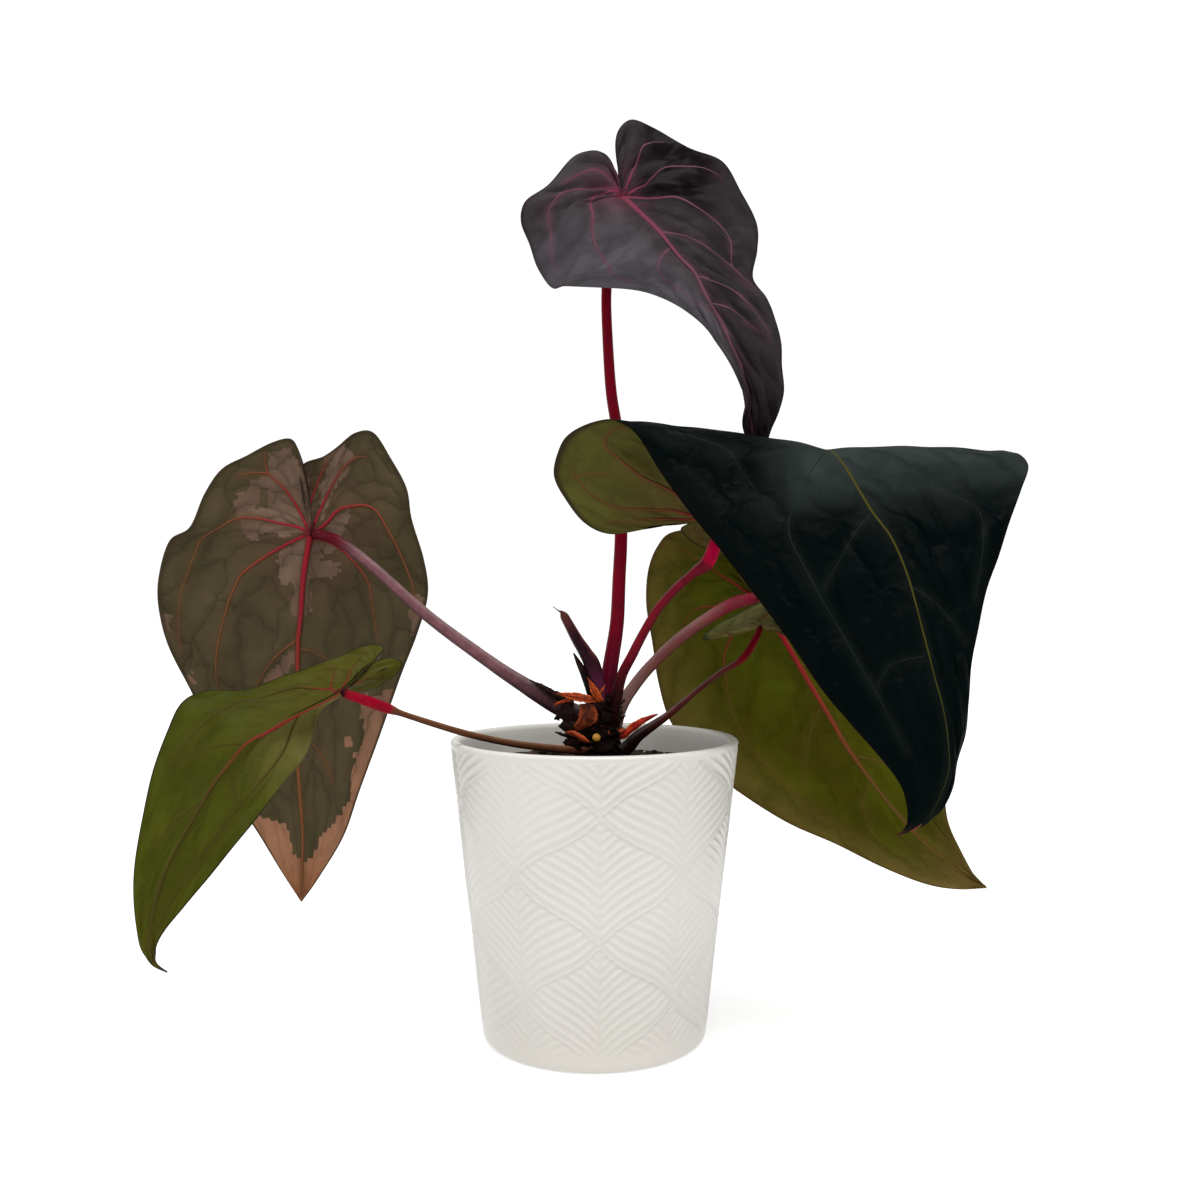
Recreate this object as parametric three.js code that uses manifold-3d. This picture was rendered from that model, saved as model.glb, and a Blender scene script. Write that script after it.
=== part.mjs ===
// A potted anthurium hybrid: six heart-shaped leaves on long petioles, a short scarred stem, dry sheaths,
// soil and a tapered ceramic pot with pressed chevron ribs.
// The origin is the centre of the pot's underside, +Z is up, and the plant's front faces -Y. Lengths are in mm.

import * as THREE from 'three';
import Module from 'manifold-3d';

const wasm = await Module();
wasm.setup();

// Pot
const potHeight = 145;
const potTopRadius = 70;
const potBaseRadius = 54;
const potWall = 4.5;
const potFloor = 6;
const potBaseRounding = 4;

// Pressed ribs on the pot: a V of ribs under each of the columns that stand round it
const ribColumns = 10;
const ribSegments = 4;
const ribPitch = 6.5;
const ribDepth = 1.0;
const ribDrop = 7;
const ribBandBottom = 7;
const ribBandTop = 136;
const ribFirstAngle = THREE.MathUtils.degToRad(-87);

// Soil
const soilTop = 131;
const soilGap = 0.3;
const soilLump = 1.6;
const soilRings = 7;
const soilSides = 32;
const stemHoleDepth = 24;
const stemHoleRadius = 14;

// Leaves
const bladeThickness = 1.0;
const marginThickness = 0.7;
const stepsAcross = 5;
const clearance = 0.3;
const bladeClearance = 0.4;
const petioleSides = 8;
const ringsPerStation = 1.5;

const v = (p) => new THREE.Vector3(p[0], p[1], p[2]);

// Joins equal points, drops empty triangles and returns a solid.
function solidFrom(points, triangles) {
  const places = new Map();
  const index = [];
  const flat = [];
  for (const p of points) {
    const key = [p.x, p.y, p.z].map((c) => Math.round(c * 1000)).join();
    if (!places.has(key)) {
      places.set(key, flat.length / 3);
      flat.push(p.x, p.y, p.z);
    }
    index.push(places.get(key));
  }
  const kept = triangles
    .map((t) => t.map((i) => index[i]))
    .filter(([a, b, c]) => a !== b && b !== c && c !== a);
  return new wasm.Manifold(
    new wasm.Mesh({
      numProp: 3,
      vertProperties: new Float32Array(flat),
      triVerts: new Uint32Array(kept.flat()),
    }),
  );
}

// A closed body from rings round the Z axis. A ring gives [radius, height] at each of its points, and the rings run
// from the axis at one end to the axis at the other.
function ringed(rings, sides, firstAngle = 0) {
  const points = [];
  for (const ring of rings) {
    for (let j = 0; j < sides; j += 1) {
      const angle = firstAngle + (2 * Math.PI * j) / sides;
      const [r, z] = ring(j, angle);
      points.push(new THREE.Vector3(r * Math.cos(angle), r * Math.sin(angle), z));
    }
  }
  const triangles = [];
  for (let i = 0; i < rings.length - 1; i += 1) {
    for (let j = 0; j < sides; j += 1) {
      const a = i * sides + j;
      const b = i * sides + ((j + 1) % sides);
      triangles.push([a, b, b + sides], [a, b + sides, a + sides]);
    }
  }
  return outward(solidFrom(points, triangles), points, triangles);
}

const round = (r, z) => () => [r, z];

// Turns a solid's faces round when they point inward.
function outward(solid, points, triangles) {
  if (solid.volume() > 0) {
    return solid;
  }
  return solidFrom(points, triangles.map(([a, b, c]) => [a, c, b]));
}

// The largest body of a solid, without the scraps that a cut can leave.
function largestBody(solid) {
  const bodies = solid.decompose();
  bodies.sort((a, b) => b.volume() - a.volume());
  return bodies[0];
}

// A smooth value between the entries of a list of points, at place u counted in entries.
function smoothPoint(list, u) {
  const last = list.length - 1;
  const i = Math.min(Math.floor(u), last - 1);
  const f = u - i;
  const p1 = list[i];
  const p2 = list[i + 1];
  const p0 = list[Math.max(i - 1, 0)];
  const p3 = list[Math.min(i + 2, last)];
  const blend = (a, b, c, d) =>
    0.5 * (2 * b + (c - a) * f + (2 * a - 5 * b + 4 * c - d) * f * f + (3 * b - a - 3 * c + d) * f * f * f);
  return new THREE.Vector3(
    blend(p0.x, p1.x, p2.x, p3.x),
    blend(p0.y, p1.y, p2.y, p3.y),
    blend(p0.z, p1.z, p2.z, p3.z),
  );
}

// A round stalk along points [x, y, z, radius], closed at both ends.
function stalk(stations, ringCount, sides) {
  const middles = stations.map(v);
  const curve = new THREE.CatmullRomCurve3(middles, false, 'centripetal');
  const frames = curve.computeFrenetFrames(ringCount, false);
  const points = [];
  for (let i = 0; i <= ringCount; i += 1) {
    const u = curve.getUtoTmapping(i / ringCount) * (stations.length - 1);
    const k = Math.min(Math.floor(u), stations.length - 2);
    const radius = THREE.MathUtils.lerp(stations[k][3], stations[k + 1][3], u - k);
    const middle = curve.getPointAt(i / ringCount);
    for (let j = 0; j < sides; j += 1) {
      const angle = (2 * Math.PI * j) / sides;
      points.push(
        middle.clone()
          .addScaledVector(frames.normals[i], radius * Math.cos(angle))
          .addScaledVector(frames.binormals[i], radius * Math.sin(angle)),
      );
    }
  }
  const triangles = [];
  for (let i = 0; i < ringCount; i += 1) {
    for (let j = 0; j < sides; j += 1) {
      const a = i * sides + j;
      const b = i * sides + ((j + 1) % sides);
      triangles.push([a, b, b + sides], [a, b + sides, a + sides]);
    }
  }
  const end = ringCount * sides;
  for (let j = 1; j < sides - 1; j += 1) {
    triangles.push([0, j + 1, j], [end, end + j, end + j + 1]);
  }
  return outward(solidFrom(points, triangles), points, triangles);
}

// A leaf blade. Each row holds a place on the left margin, one on the midrib and one on the right margin, seen from
// the upper side with the tip down. The rows that share the petiole's top fan out into the two basal lobes.
// The blade arches by `arch` mm between midrib and margin, and its margins wave by `wave` mm.
function blade({ rows, tip, arch, wave, waves, stepsPerRow }, thickening = 0) {
  const left = [...rows.map((r) => v(r[0])), v(tip)];
  const middle = [...rows.map((r) => v(r[1])), v(tip)];
  const right = [...rows.map((r) => v(r[2])), v(tip)];
  const rowCount = rows.length;
  const lobeRows = rows.filter((r) => v(r[1]).equals(v(rows[0][1]))).length;
  const lines = rowCount * stepsPerRow;
  const columns = 2 * stepsAcross + 1;
  const spot = (line, side, t) => {
    const u = line / stepsPerRow;
    const centre = u <= lobeRows - 1 ? middle[0].clone() : smoothPoint(middle, u);
    const margin = smoothPoint(side < 0 ? left : right, u);
    const along = smoothPoint(middle, Math.min(u + 0.5, rowCount))
      .add(smoothPoint(side < 0 ? left : right, Math.min(u + 0.5, rowCount)))
      .sub(smoothPoint(side < 0 ? left : right, Math.max(u - 0.5, 0)))
      .sub(smoothPoint(middle, Math.max(u - 0.5, 0)));
    const across = margin.clone().sub(centre);
    const up = across.clone().cross(along).multiplyScalar(side < 0 ? 1 : -1).normalize();
    const fade = Math.min(1, u / 3, (rowCount - u) / 4);
    const lift = arch * 4 * t * (1 - t) + wave * t * t * Math.sin((2 * Math.PI * waves * u) / rowCount + side);
    return centre.addScaledVector(across, t).addScaledVector(up, lift * fade);
  };
  const sheet = [];
  for (let i = 0; i <= lines; i += 1) {
    for (let j = -stepsAcross; j <= stepsAcross; j += 1) {
      sheet.push(spot(i, Math.sign(j) || 1, Math.abs(j) / stepsAcross));
    }
  }
  const at = (i, j) => i * columns + j + stepsAcross;
  const faces = [];
  for (let i = 0; i < lines; i += 1) {
    for (let j = -stepsAcross; j < stepsAcross; j += 1) {
      const [a, b, c, d] = [at(i, j), at(i + 1, j), at(i + 1, j + 1), at(i, j + 1)];
      if (j < 0) {
        faces.push([a, b, c], [a, c, d]);
      } else {
        faces.push([a, b, d], [b, c, d]);
      }
    }
  }
  return thickened(sheet, faces, columns, thickening);
}

// Gives an open sheet its thickness, thinner toward the margin, with a wall round its edge.
function thickened(sheet, faces, columns, thickening) {
  const places = new Map();
  const first = sheet.map((p, i) => {
    const key = [p.x, p.y, p.z].map((c) => Math.round(c * 1000)).join();
    if (!places.has(key)) {
      places.set(key, i);
    }
    return places.get(key);
  });
  const kept = faces
    .map((f) => f.map((i) => first[i]))
    .filter(([a, b, c]) => a !== b && b !== c && c !== a);
  const normals = sheet.map(() => new THREE.Vector3());
  const edges = new Map();
  for (const [a, b, c] of kept) {
    const n = sheet[b].clone().sub(sheet[a]).cross(sheet[c].clone().sub(sheet[a]));
    [a, b, c].forEach((i) => normals[i].add(n));
    [[a, b], [b, c], [c, a]].forEach(([s, e]) => {
      if (!edges.delete(`${e} ${s}`)) {
        edges.set(`${s} ${e}`, [s, e]);
      }
    });
  }
  const middleColumn = (columns - 1) / 2;
  const half = (i) => {
    const t = Math.abs((i % columns) - middleColumn) / middleColumn;
    return THREE.MathUtils.lerp(bladeThickness, marginThickness, t * t) / 2 + thickening;
  };
  const points = [];
  for (const side of [1, -1]) {
    sheet.forEach((p, i) => {
      points.push(p.clone().addScaledVector(normals[i].clone().normalize(), side * half(i)));
    });
  }
  const under = sheet.length;
  const triangles = [];
  for (const [a, b, c] of kept) {
    triangles.push([a, b, c], [under + a, under + c, under + b]);
  }
  for (const [a, b] of edges.values()) {
    triangles.push([a, under + a, under + b], [a, under + b, b]);
  }
  return solidFrom(points, triangles);
}

const topLeaf = {
  rows: [
    [[12, -2, 412], [13, -4, 408], [12, -2, 412]],
    [[9, 1, 422], [13, -4, 408], [11, 5, 429]],
    [[5, 3, 430], [13, -4, 408], [11, 10, 442]],
    [[-2, 2, 432], [13, -4, 408], [18, 13, 452]],
    [[-11, -1, 428], [13, -4, 408], [30, 13, 447]],
    [[-21, -5, 417], [13, -4, 408], [47, 9, 435]],
    [[-30, -9, 403], [13, -4, 408], [64, 4, 427]],
    [[-36, -11, 395], [13, -4, 408], [72, -1, 411]],
    [[-33, -12, 383], [19, -9, 401], [79, -6, 394]],
    [[-28, -13, 370], [27, -13, 392], [78, -12, 379]],
    [[-20, -13, 362], [33, -17, 384], [75, -18, 364]],
    [[-3, -10, 365], [40, -21, 374], [81, -23, 354]],
    [[16, -13, 361], [47, -24, 366], [85, -27, 343]],
    [[33, -19, 355], [52, -27, 355], [87, -30, 332]],
    [[48, -25, 344], [57, -29, 345], [87, -31, 321]],
    [[58, -29, 331], [62, -31, 333], [88, -30, 309]],
    [[65, -31, 318], [68, -31, 321], [86, -28, 300]],
    [[70, -28, 305], [72, -28, 308], [83, -24, 292]],
    [[70, -22, 294], [74, -23, 295], [81, -20, 285]],
  ],
  tip: [76, -15, 278],
  arch: 3,
  wave: 1,
  waves: 4,
  stepsPerRow: 1,
};

const variegatedLeaf = {
  rows: [
    [[-145, 26, 250], [-145, 26, 246], [-145, 26, 250]],
    [[-145, 28, 265], [-145, 26, 246], [-148, 25, 267]],
    [[-146, 29, 281], [-145, 26, 246], [-149, 24, 283]],
    [[-139, 29, 286], [-145, 26, 246], [-154, 26, 294]],
    [[-131, 29, 291], [-145, 26, 246], [-165, 27, 293]],
    [[-122, 28, 298], [-145, 26, 246], [-178, 25, 286]],
    [[-113, 26, 298], [-145, 26, 246], [-190, 24, 279]],
    [[-104, 24, 285], [-145, 26, 246], [-198, 22, 266]],
    [[-95, 22, 269], [-145, 26, 246], [-205, 20, 249]],
    [[-92, 20, 253], [-146, 27, 240], [-215, 18, 242]],
    [[-86, 18, 233], [-148, 27, 225], [-220, 17, 226]],
    [[-84, 17, 215], [-150, 28, 208], [-220, 16, 210]],
    [[-89, 16, 195], [-152, 28, 189], [-215, 17, 189]],
    [[-97, 17, 174], [-152, 28, 166], [-204, 18, 166]],
    [[-107, 18, 147], [-152, 27, 140], [-192, 20, 139]],
    [[-119, 19, 116], [-150, 25, 115], [-180, 21, 109]],
    [[-127, 19, 93], [-148, 22, 93], [-168, 20, 90]],
    [[-140, 17, 72], [-147, 18, 73], [-154, 18, 70]],
  ],
  tip: [-146, 15, 61],
  arch: 5,
  wave: 1.2,
  waves: 4,
  stepsPerRow: 1,
};

const smallFrontLeaf = {
  rows: [
    [[-112, -43, 174], [-115, -45, 171], [-112, -43, 174]],
    [[-109, -38, 177], [-115, -45, 171], [-107, -36, 182]],
    [[-105, -33, 183], [-115, -45, 171], [-100, -28, 187]],
    [[-97, -29, 186], [-115, -45, 171], [-99, -25, 191]],
    [[-90, -27, 184], [-115, -45, 171], [-107, -24, 191]],
    [[-92, -26, 179], [-115, -45, 171], [-118, -25, 187]],
    [[-102, -27, 172], [-115, -45, 171], [-132, -27, 182]],
    [[-114, -29, 169], [-115, -45, 171], [-147, -29, 177]],
    [[-123, -32, 164], [-128, -48, 164], [-163, -32, 171]],
    [[-127, -37, 157], [-141, -51, 157], [-178, -36, 171]],
    [[-130, -46, 143], [-153, -55, 149], [-188, -41, 166]],
    [[-138, -54, 131], [-160, -58, 141], [-193, -47, 153]],
    [[-147, -62, 118], [-167, -62, 132], [-197, -54, 137]],
    [[-156, -69, 106], [-174, -67, 119], [-199, -61, 119]],
    [[-166, -74, 93], [-181, -72, 105], [-200, -68, 99]],
    [[-175, -78, 82], [-186, -76, 91], [-198, -74, 84]],
    [[-182, -80, 71], [-188, -79, 75], [-194, -78, 67]],
    [[-186, -81, 63], [-189, -80, 64], [-190, -80, 60]],
  ],
  tip: [-181, -81, 55],
  arch: 2,
  wave: 0.6,
  waves: 3,
  stepsPerRow: 1,
};

const foldedLeaf = {
  rows: [
    [[58, -12, 254], [64, -15, 251], [58, -12, 254]],
    [[48, -10, 254], [64, -15, 251], [50, -6, 251]],
    [[35, -9, 249], [64, -15, 251], [42, 0, 247]],
    [[22, -10, 246], [64, -15, 251], [48, 4, 241]],
    [[7, -12, 244], [64, -15, 251], [55, 6, 238]],
    [[-5, -14, 249], [64, -15, 251], [72, 8, 232]],
    [[-14, -16, 260], [64, -15, 251], [97, 6, 232]],
    [[-20, -18, 272], [73, -22, 258], [125, 0, 239]],
    [[-17, -21, 285], [84, -29, 267], [153, -14, 250]],
    [[-12, -23, 291], [94, -36, 274], [174, -33, 262]],
    [[-4, -25, 295], [100, -42, 279], [186, -50, 273]],
    [[5, -28, 297], [105, -48, 280], [190, -60, 276]],
    [[11, -32, 295], [109, -56, 275], [188, -65, 270]],
    [[19, -39, 288], [114, -64, 264], [185, -70, 260]],
    [[30, -48, 269], [120, -71, 251], [178, -76, 246]],
    [[43, -57, 250], [126, -77, 240], [172, -80, 231]],
    [[56, -65, 233], [131, -83, 225], [166, -83, 217]],
    [[69, -72, 215], [134, -88, 211], [161, -87, 200]],
    [[83, -80, 195], [137, -92, 196], [157, -90, 185]],
    [[95, -86, 176], [140, -96, 181], [155, -93, 171]],
    [[107, -91, 161], [143, -99, 167], [153, -96, 158]],
    [[118, -96, 148], [144, -102, 154], [149, -99, 147]],
    [[126, -100, 136], [143, -104, 142], [146, -102, 136]],
    [[129, -104, 125], [138, -106, 128], [141, -105, 128]],
  ],
  tip: [126, -109, 117],
  arch: 2,
  wave: 0.8,
  waves: 4,
  stepsPerRow: 1,
};

const droopingLeaf = {
  rows: [
    [[84, 60, 217], [87, 60, 213], [84, 60, 217]],
    [[80, 62, 227], [87, 60, 213], [75, 63, 225]],
    [[74, 65, 243], [87, 60, 213], [64, 67, 238]],
    [[74, 65, 256], [87, 60, 213], [52, 70, 248]],
    [[83, 63, 262], [87, 60, 213], [42, 72, 249]],
    [[100, 60, 261], [87, 60, 213], [34, 74, 242]],
    [[118, 57, 254], [87, 60, 213], [29, 76, 229]],
    [[134, 54, 241], [90, 60, 208], [28, 77, 210]],
    [[148, 52, 225], [98, 61, 197], [31, 78, 189]],
    [[160, 51, 206], [107, 62, 182], [34, 79, 167]],
    [[169, 51, 186], [116, 64, 167], [41, 80, 144]],
    [[177, 52, 165], [126, 66, 151], [57, 81, 123]],
    [[183, 54, 145], [137, 68, 134], [78, 81, 106]],
    [[188, 57, 125], [151, 70, 115], [106, 80, 88]],
    [[189, 61, 105], [164, 71, 98], [133, 79, 76]],
    [[192, 65, 90], [179, 72, 81], [158, 77, 64]],
    [[199, 69, 76], [194, 73, 68], [182, 76, 55]],
    [[208, 72, 61], [206, 74, 58], [200, 75, 52]],
  ],
  tip: [216, 74, 53],
  arch: 6,
  wave: 1.2,
  waves: 4,
  stepsPerRow: 1,
};

const hiddenLeaf = {
  rows: [
    [[80, 3, 202], [82, 2, 200], [80, 3, 202]],
    [[83, -1, 198], [82, 2, 200], [73, 8, 199]],
    [[85, -4, 197], [82, 2, 200], [64, 13, 197]],
    [[88, -7, 197], [82, 2, 200], [56, 15, 192]],
    [[91, -9, 196], [82, 2, 200], [55, 18, 194]],
    [[95, -10, 194], [85, 2, 199], [64, 20, 200]],
    [[99, -10, 190], [91, 1, 198], [76, 19, 207]],
    [[107, -9, 184], [99, 1, 195], [88, 16, 214]],
    [[118, -8, 178], [111, 1, 191], [103, 13, 218]],
    [[130, -6, 172], [124, 1, 185], [118, 10, 218]],
    [[142, -4, 167], [137, 1, 179], [132, 7, 212]],
    [[152, -2, 163], [148, 1, 173], [146, 5, 201]],
    [[161, -1, 160], [158, 1, 168], [156, 3, 187]],
    [[168, 0, 159], [166, 0, 163], [164, 1, 173]],
  ],
  tip: [172, 0, 157],
  arch: 2,
  wave: 0.5,
  waves: 3,
  stepsPerRow: 1,
};

// Petioles, from the stem to the blade: places along the middle, with the radius there.
const petioles = {
  top_leaf: [
    [5, 2, 157, 4], [6, 2, 168, 3.9], [8, 1, 181, 3.4], [11, 0, 201, 3.0], [12, -1, 222, 2.9], [13, 0, 243, 2.8],
    [13, 2, 271, 2.6], [11, 3, 296, 2.5], [8, 4, 317, 2.4], [6, 4, 351, 2.3], [6, 3, 367, 2.3], [7, 1, 389, 2.6],
    [10, -1, 402, 2.6], [13, -4, 408, 2.2],
  ],
  variegated_leaf: [
    [-2, 0, 155, 4.0], [-16, 0, 161, 3.6], [-29, 0, 168, 3.2], [-50, 1, 182, 2.8], [-81, 5, 204, 2.6],
    [-109, 10, 228, 2.4], [-125, 15, 240, 2.5], [-134, 19, 244, 2.5], [-145, 26, 246, 2.0],
  ],
  small_front_leaf: [
    [-2, -6, 139, 1.9], [-14, -11, 140, 1.6], [-33, -20, 143, 1.4], [-48, -25, 146, 1.3], [-62, -30, 150, 1.3],
    [-76, -35, 155, 1.3], [-89, -38, 160, 1.6], [-95, -40, 162, 2.7], [-104, -43, 166, 2.8], [-115, -45, 171, 2.2],
  ],
  folded_leaf: [
    [8, -3, 143, 3.0], [9, -4, 153, 2.9], [10, -6, 166, 2.6], [12, -7, 176, 2.4], [17, -9, 186, 2.3],
    [22, -11, 196, 2.2], [30, -13, 209, 2.2], [40, -15, 218, 2.3], [49, -17, 226, 3.2], [53, -18, 231, 3.3],
    [57, -18, 238, 3.0], [64, -15, 251, 2.4],
  ],
  drooping_leaf: [
    [10, 4, 142, 3.4], [12, 6, 152, 3.2], [15, 8, 160, 3.0], [20, 13, 168, 2.9], [29, 20, 179, 2.9],
    [46, 32, 194, 3.0], [69, 48, 208, 3.3], [81, 56, 212, 3.2], [87, 60, 213, 2.6],
  ],
  hidden_leaf: [
    [13, -7, 138, 3.0], [17, -8, 142, 2.6], [22, -9, 147, 2.2], [36, -8, 157, 1.7], [48, -7, 167, 1.5],
    [61, -6, 177, 1.6], [72, -5, 184, 2.3], [78, -3, 193, 2.3], [82, 2, 200, 1.8],
  ],
};

// The stem's ringed outline as [height, radius], and how far it leans to the right for each mm of height.
const stemOutline = [
  [112, 11], [126, 12], [134, 12.5], [137, 11.4], [141, 12], [144, 10.8], [148, 11.2], [151, 9.8], [155, 10.2],
  [158, 8.8], [163, 8], [167, 5],
];
const stemLean = 0.07;

const twig = [[-37, 42, 130, 1.5], [-26, 40, 133, 1.8], [-16, 41, 130, 1.3]];

// Dry and dark sheaths that wrap the crown, each a small pointed scale, and the two pointed ones that guard new growth.
const spears = {
  tall_spear_sheath: [
    [3, -11, 160, 2.6], [1, -10, 173, 3.0], [-4, -9, 185, 2.4], [-9, -8, 196, 1.5], [-14, -7, 204, 0.6],
    [-20, -7, 208, 0.35],
  ],
  short_spear_sheath: [[-1, -5, 158, 2.4], [-5, -8, 169, 2.2], [-8, -9, 179, 1.3], [-10, -9, 187, 0.4]],
};

const rootBud = [[1, -10, 146.6, 1.6], [1, -14, 146.6, 2.2], [1, -15.5, 146.6, 2.0], [1, -16.3, 146.6, 0.8]];

const scales = {
  orange_sheath_top: {
    rows: [
      [[-19, -8, 168], [-19, -8, 168], [-19, -8, 168]],
      [[-12, -12, 168], [-12, -13, 166], [-12, -13, 163]],
      [[-3, -14, 167], [-3, -15, 165], [-3, -15, 162]],
    ],
    tip: [7, -13, 163],
    slot: 'sheath_orange',
  },
  orange_sheath_peak: {
    rows: [
      [[2, -15, 163], [2, -15, 163], [2, -15, 163]],
      [[-2, -15, 167], [1, -16, 168], [5, -15, 168]],
    ],
    tip: [3, -14, 173],
    slot: 'sheath_orange',
  },
  orange_sheath_front: {
    rows: [
      [[-3, -16, 162], [-3, -16, 162], [-3, -16, 162]],
      [[-9, -14, 157], [-4, -16, 157], [2, -16, 157]],
      [[-8, -14, 153], [-4, -15, 153], [1, -15, 153]],
    ],
    tip: [-4, -15, 149],
    slot: 'sheath_orange',
  },
  orange_sheath_low: {
    rows: [
      [[-1, -16, 144], [-1, -16, 144], [-1, -16, 144]],
      [[-5, -16, 144], [-6, -16, 146], [-5, -15, 149]],
      [[-9, -14, 146], [-9, -14, 148], [-9, -13, 150]],
    ],
    tip: [-14, -11, 149],
    slot: 'sheath_orange',
  },
  orange_sheath_right: {
    rows: [
      [[11, -11, 145], [11, -11, 145], [11, -11, 145]],
      [[16, -10, 145], [16, -11, 148], [15, -10, 152]],
      [[24, -10, 149], [24, -11, 152], [22, -10, 156]],
    ],
    tip: [32, -10, 157],
    slot: 'sheath_orange',
  },
  dark_sheath_left: {
    rows: [
      [[-12, -2, 162], [-12, -2, 162], [-12, -2, 162]],
      [[-19, -4, 163], [-19, -4, 167], [-18, -2, 170]],
      [[-25, -4, 169], [-25, -4, 172], [-24, -2, 174]],
    ],
    tip: [-32, -2, 177],
    slot: 'sheath_dark',
  },
};

const colours = {
  pot_glaze: 0xe9e6e0,
  soil: 0x2c241a,
  stem_bark: 0x241812,
  leaf_purple: 0x3a3036,
  leaf_variegated: 0x4a3f2a,
  leaf_green: 0x4b4719,
  leaf_black: 0x0c1413,
  petiole_red: 0x5a0a1c,
  petiole_plum: 0x5a3a3c,
  petiole_brown: 0x5a3324,
  sheath_orange: 0x6a3122,
  sheath_dark: 0x1e1216,
  root_bud: 0x9a7a3c,
};

const part = new THREE.Group();

function addPiece(name, solid, slot) {
  const mesh = solid.getMesh();
  const geometry = new THREE.BufferGeometry();
  geometry.setAttribute('position', new THREE.BufferAttribute(new Float32Array(mesh.vertProperties), 3));
  geometry.setIndex(new THREE.BufferAttribute(new Uint32Array(mesh.triVerts), 1));
  geometry.computeVertexNormals();
  const glossy = slot === 'pot_glaze';
  const piece = new THREE.Mesh(
    geometry,
    new THREE.MeshStandardMaterial({ color: colours[slot], roughness: glossy ? 0.25 : 0.6, metalness: 0 }),
  );
  piece.name = name;
  part.add(piece);
}

const wallRadius = (z) => THREE.MathUtils.lerp(potBaseRadius, potTopRadius, z / potHeight);

// Heights of one rib line: it drops toward each column's axis and stops at the band's edges.
function ribRing(step) {
  return (j) => {
    const fromAxis = Math.abs((j % ribSegments) / ribSegments - 0.5);
    const wanted = ribBandBottom + (step * ribPitch) / 2 - 2 * ribDrop * fromAxis;
    const z = THREE.MathUtils.clamp(wanted, ribBandBottom, ribBandTop);
    const relief = z === wanted ? (ribDepth / 2) * (step % 2 ? 1 : -1) : 0;
    return [wallRadius(z) + relief, z];
  };
}

function makePot() {
  const inner = (z) => wallRadius(z) - potWall;
  const ribSteps = Math.ceil((2 * (ribBandTop - ribBandBottom + ribDrop)) / ribPitch);
  return ringed([
    round(0, 0),
    round(potBaseRadius - potBaseRounding, 0),
    round(wallRadius(1) - 1.2, 1.2),
    round(wallRadius(potBaseRounding), potBaseRounding),
    ...Array.from({ length: ribSteps + 1 }, (_, step) => ribRing(step)),
    round(wallRadius(potHeight - 4) + 0.2, potHeight - 4),
    round(wallRadius(potHeight - 1.2), potHeight - 1.2),
    round(wallRadius(potHeight) - 1.6, potHeight),
    round(inner(potHeight) + 1.2, potHeight - 0.4),
    round(inner(potHeight - 3), potHeight - 3),
    round(inner(potFloor + 5), potFloor + 5),
    round(inner(potFloor) - 5, potFloor),
    round(0, potFloor),
  ], ribColumns * ribSegments, ribFirstAngle);
}

// Soil with a lumpy top, a twig half sunk in it, and the plain hole that the stem stands in.
function makeSoil() {
  const inner = (z) => wallRadius(z) - potWall - soilGap;
  const bottom = potFloor + soilGap;
  const lumpyRing = (i) => (_, angle) => {
    const r = (i / soilRings) * (inner(soilTop) - 0.4);
    const [x, y] = [r * Math.cos(angle), r * Math.sin(angle)];
    const lump = Math.sin(0.31 * x + 1) * Math.cos(0.27 * y) + 0.6 * Math.sin(0.7 * x + 2) * Math.sin(0.6 * y + 1);
    return [r, soilTop + soilLump * lump * Math.min(1, 4 * (1 - i / soilRings)) * Math.min(1, i)];
  };
  const body = ringed([
    ...Array.from({ length: soilRings + 1 }, (_, i) => lumpyRing(i)),
    round(inner(bottom + 5) - 0.2, bottom + 5),
    round(inner(bottom) - 5, bottom),
    round(0, bottom),
  ], soilSides);
  const hole = ringed([
    round(0, soilTop - stemHoleDepth),
    round(stemHoleRadius, soilTop - stemHoleDepth),
    round(stemHoleRadius, soilTop + 8),
    round(0, soilTop + 8),
  ], 24);
  return body.add(stalk(twig, 4, 6)).subtract(hole);
}

addPiece('pot', makePot(), 'pot_glaze');
addPiece('soil', makeSoil(), 'soil');

const makeStem = (thickening) =>
  stalk(stemOutline.map(([z, r]) => [(z - stemOutline[0][0]) * stemLean, 0, z, r + thickening]), 20, 12);
const stem = makeStem(0);
addPiece('stem', stem, 'stem_bark');

const leaves = [
  ['top_leaf', topLeaf, 'leaf_purple', 'petiole_red'],
  ['variegated_leaf', variegatedLeaf, 'leaf_variegated', 'petiole_plum'],
  ['small_front_leaf', smallFrontLeaf, 'leaf_green', 'petiole_brown'],
  ['folded_leaf', foldedLeaf, 'leaf_black', 'petiole_red'],
  ['drooping_leaf', droopingLeaf, 'leaf_green', 'petiole_plum'],
  ['hidden_leaf', hiddenLeaf, 'leaf_green', 'petiole_brown'],
];

// The stem and each finished petiole, a little swollen, cut the pieces that come after them.
let taken = makeStem(clearance);
for (const [name, leaf, bladeSlot, petioleSlot] of leaves) {
  addPiece(`${name}_blade`, blade(leaf), bladeSlot);
  const stations = petioles[name];
  const whole = stalk(stations, Math.round(ringsPerStation * stations.length), petioleSides);
  const petiole = whole.subtract(taken).subtract(blade(leaf, bladeClearance));
  addPiece(`${name}_petiole`, largestBody(petiole), petioleSlot);
  const swollen = stations.slice(0, 6).map(([x, y, z, r]) => [x, y, z, r + clearance]);
  taken = taken.add(stalk(swollen, 12, petioleSides));
}

for (const [name, stations] of Object.entries(spears)) {
  addPiece(name, largestBody(stalk(stations, 2 * stations.length, 6).subtract(taken)), 'sheath_dark');
  taken = taken.add(stalk(stations.map(([x, y, z, r]) => [x, y, z, r + clearance]), 2 * stations.length, 6));
}

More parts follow.
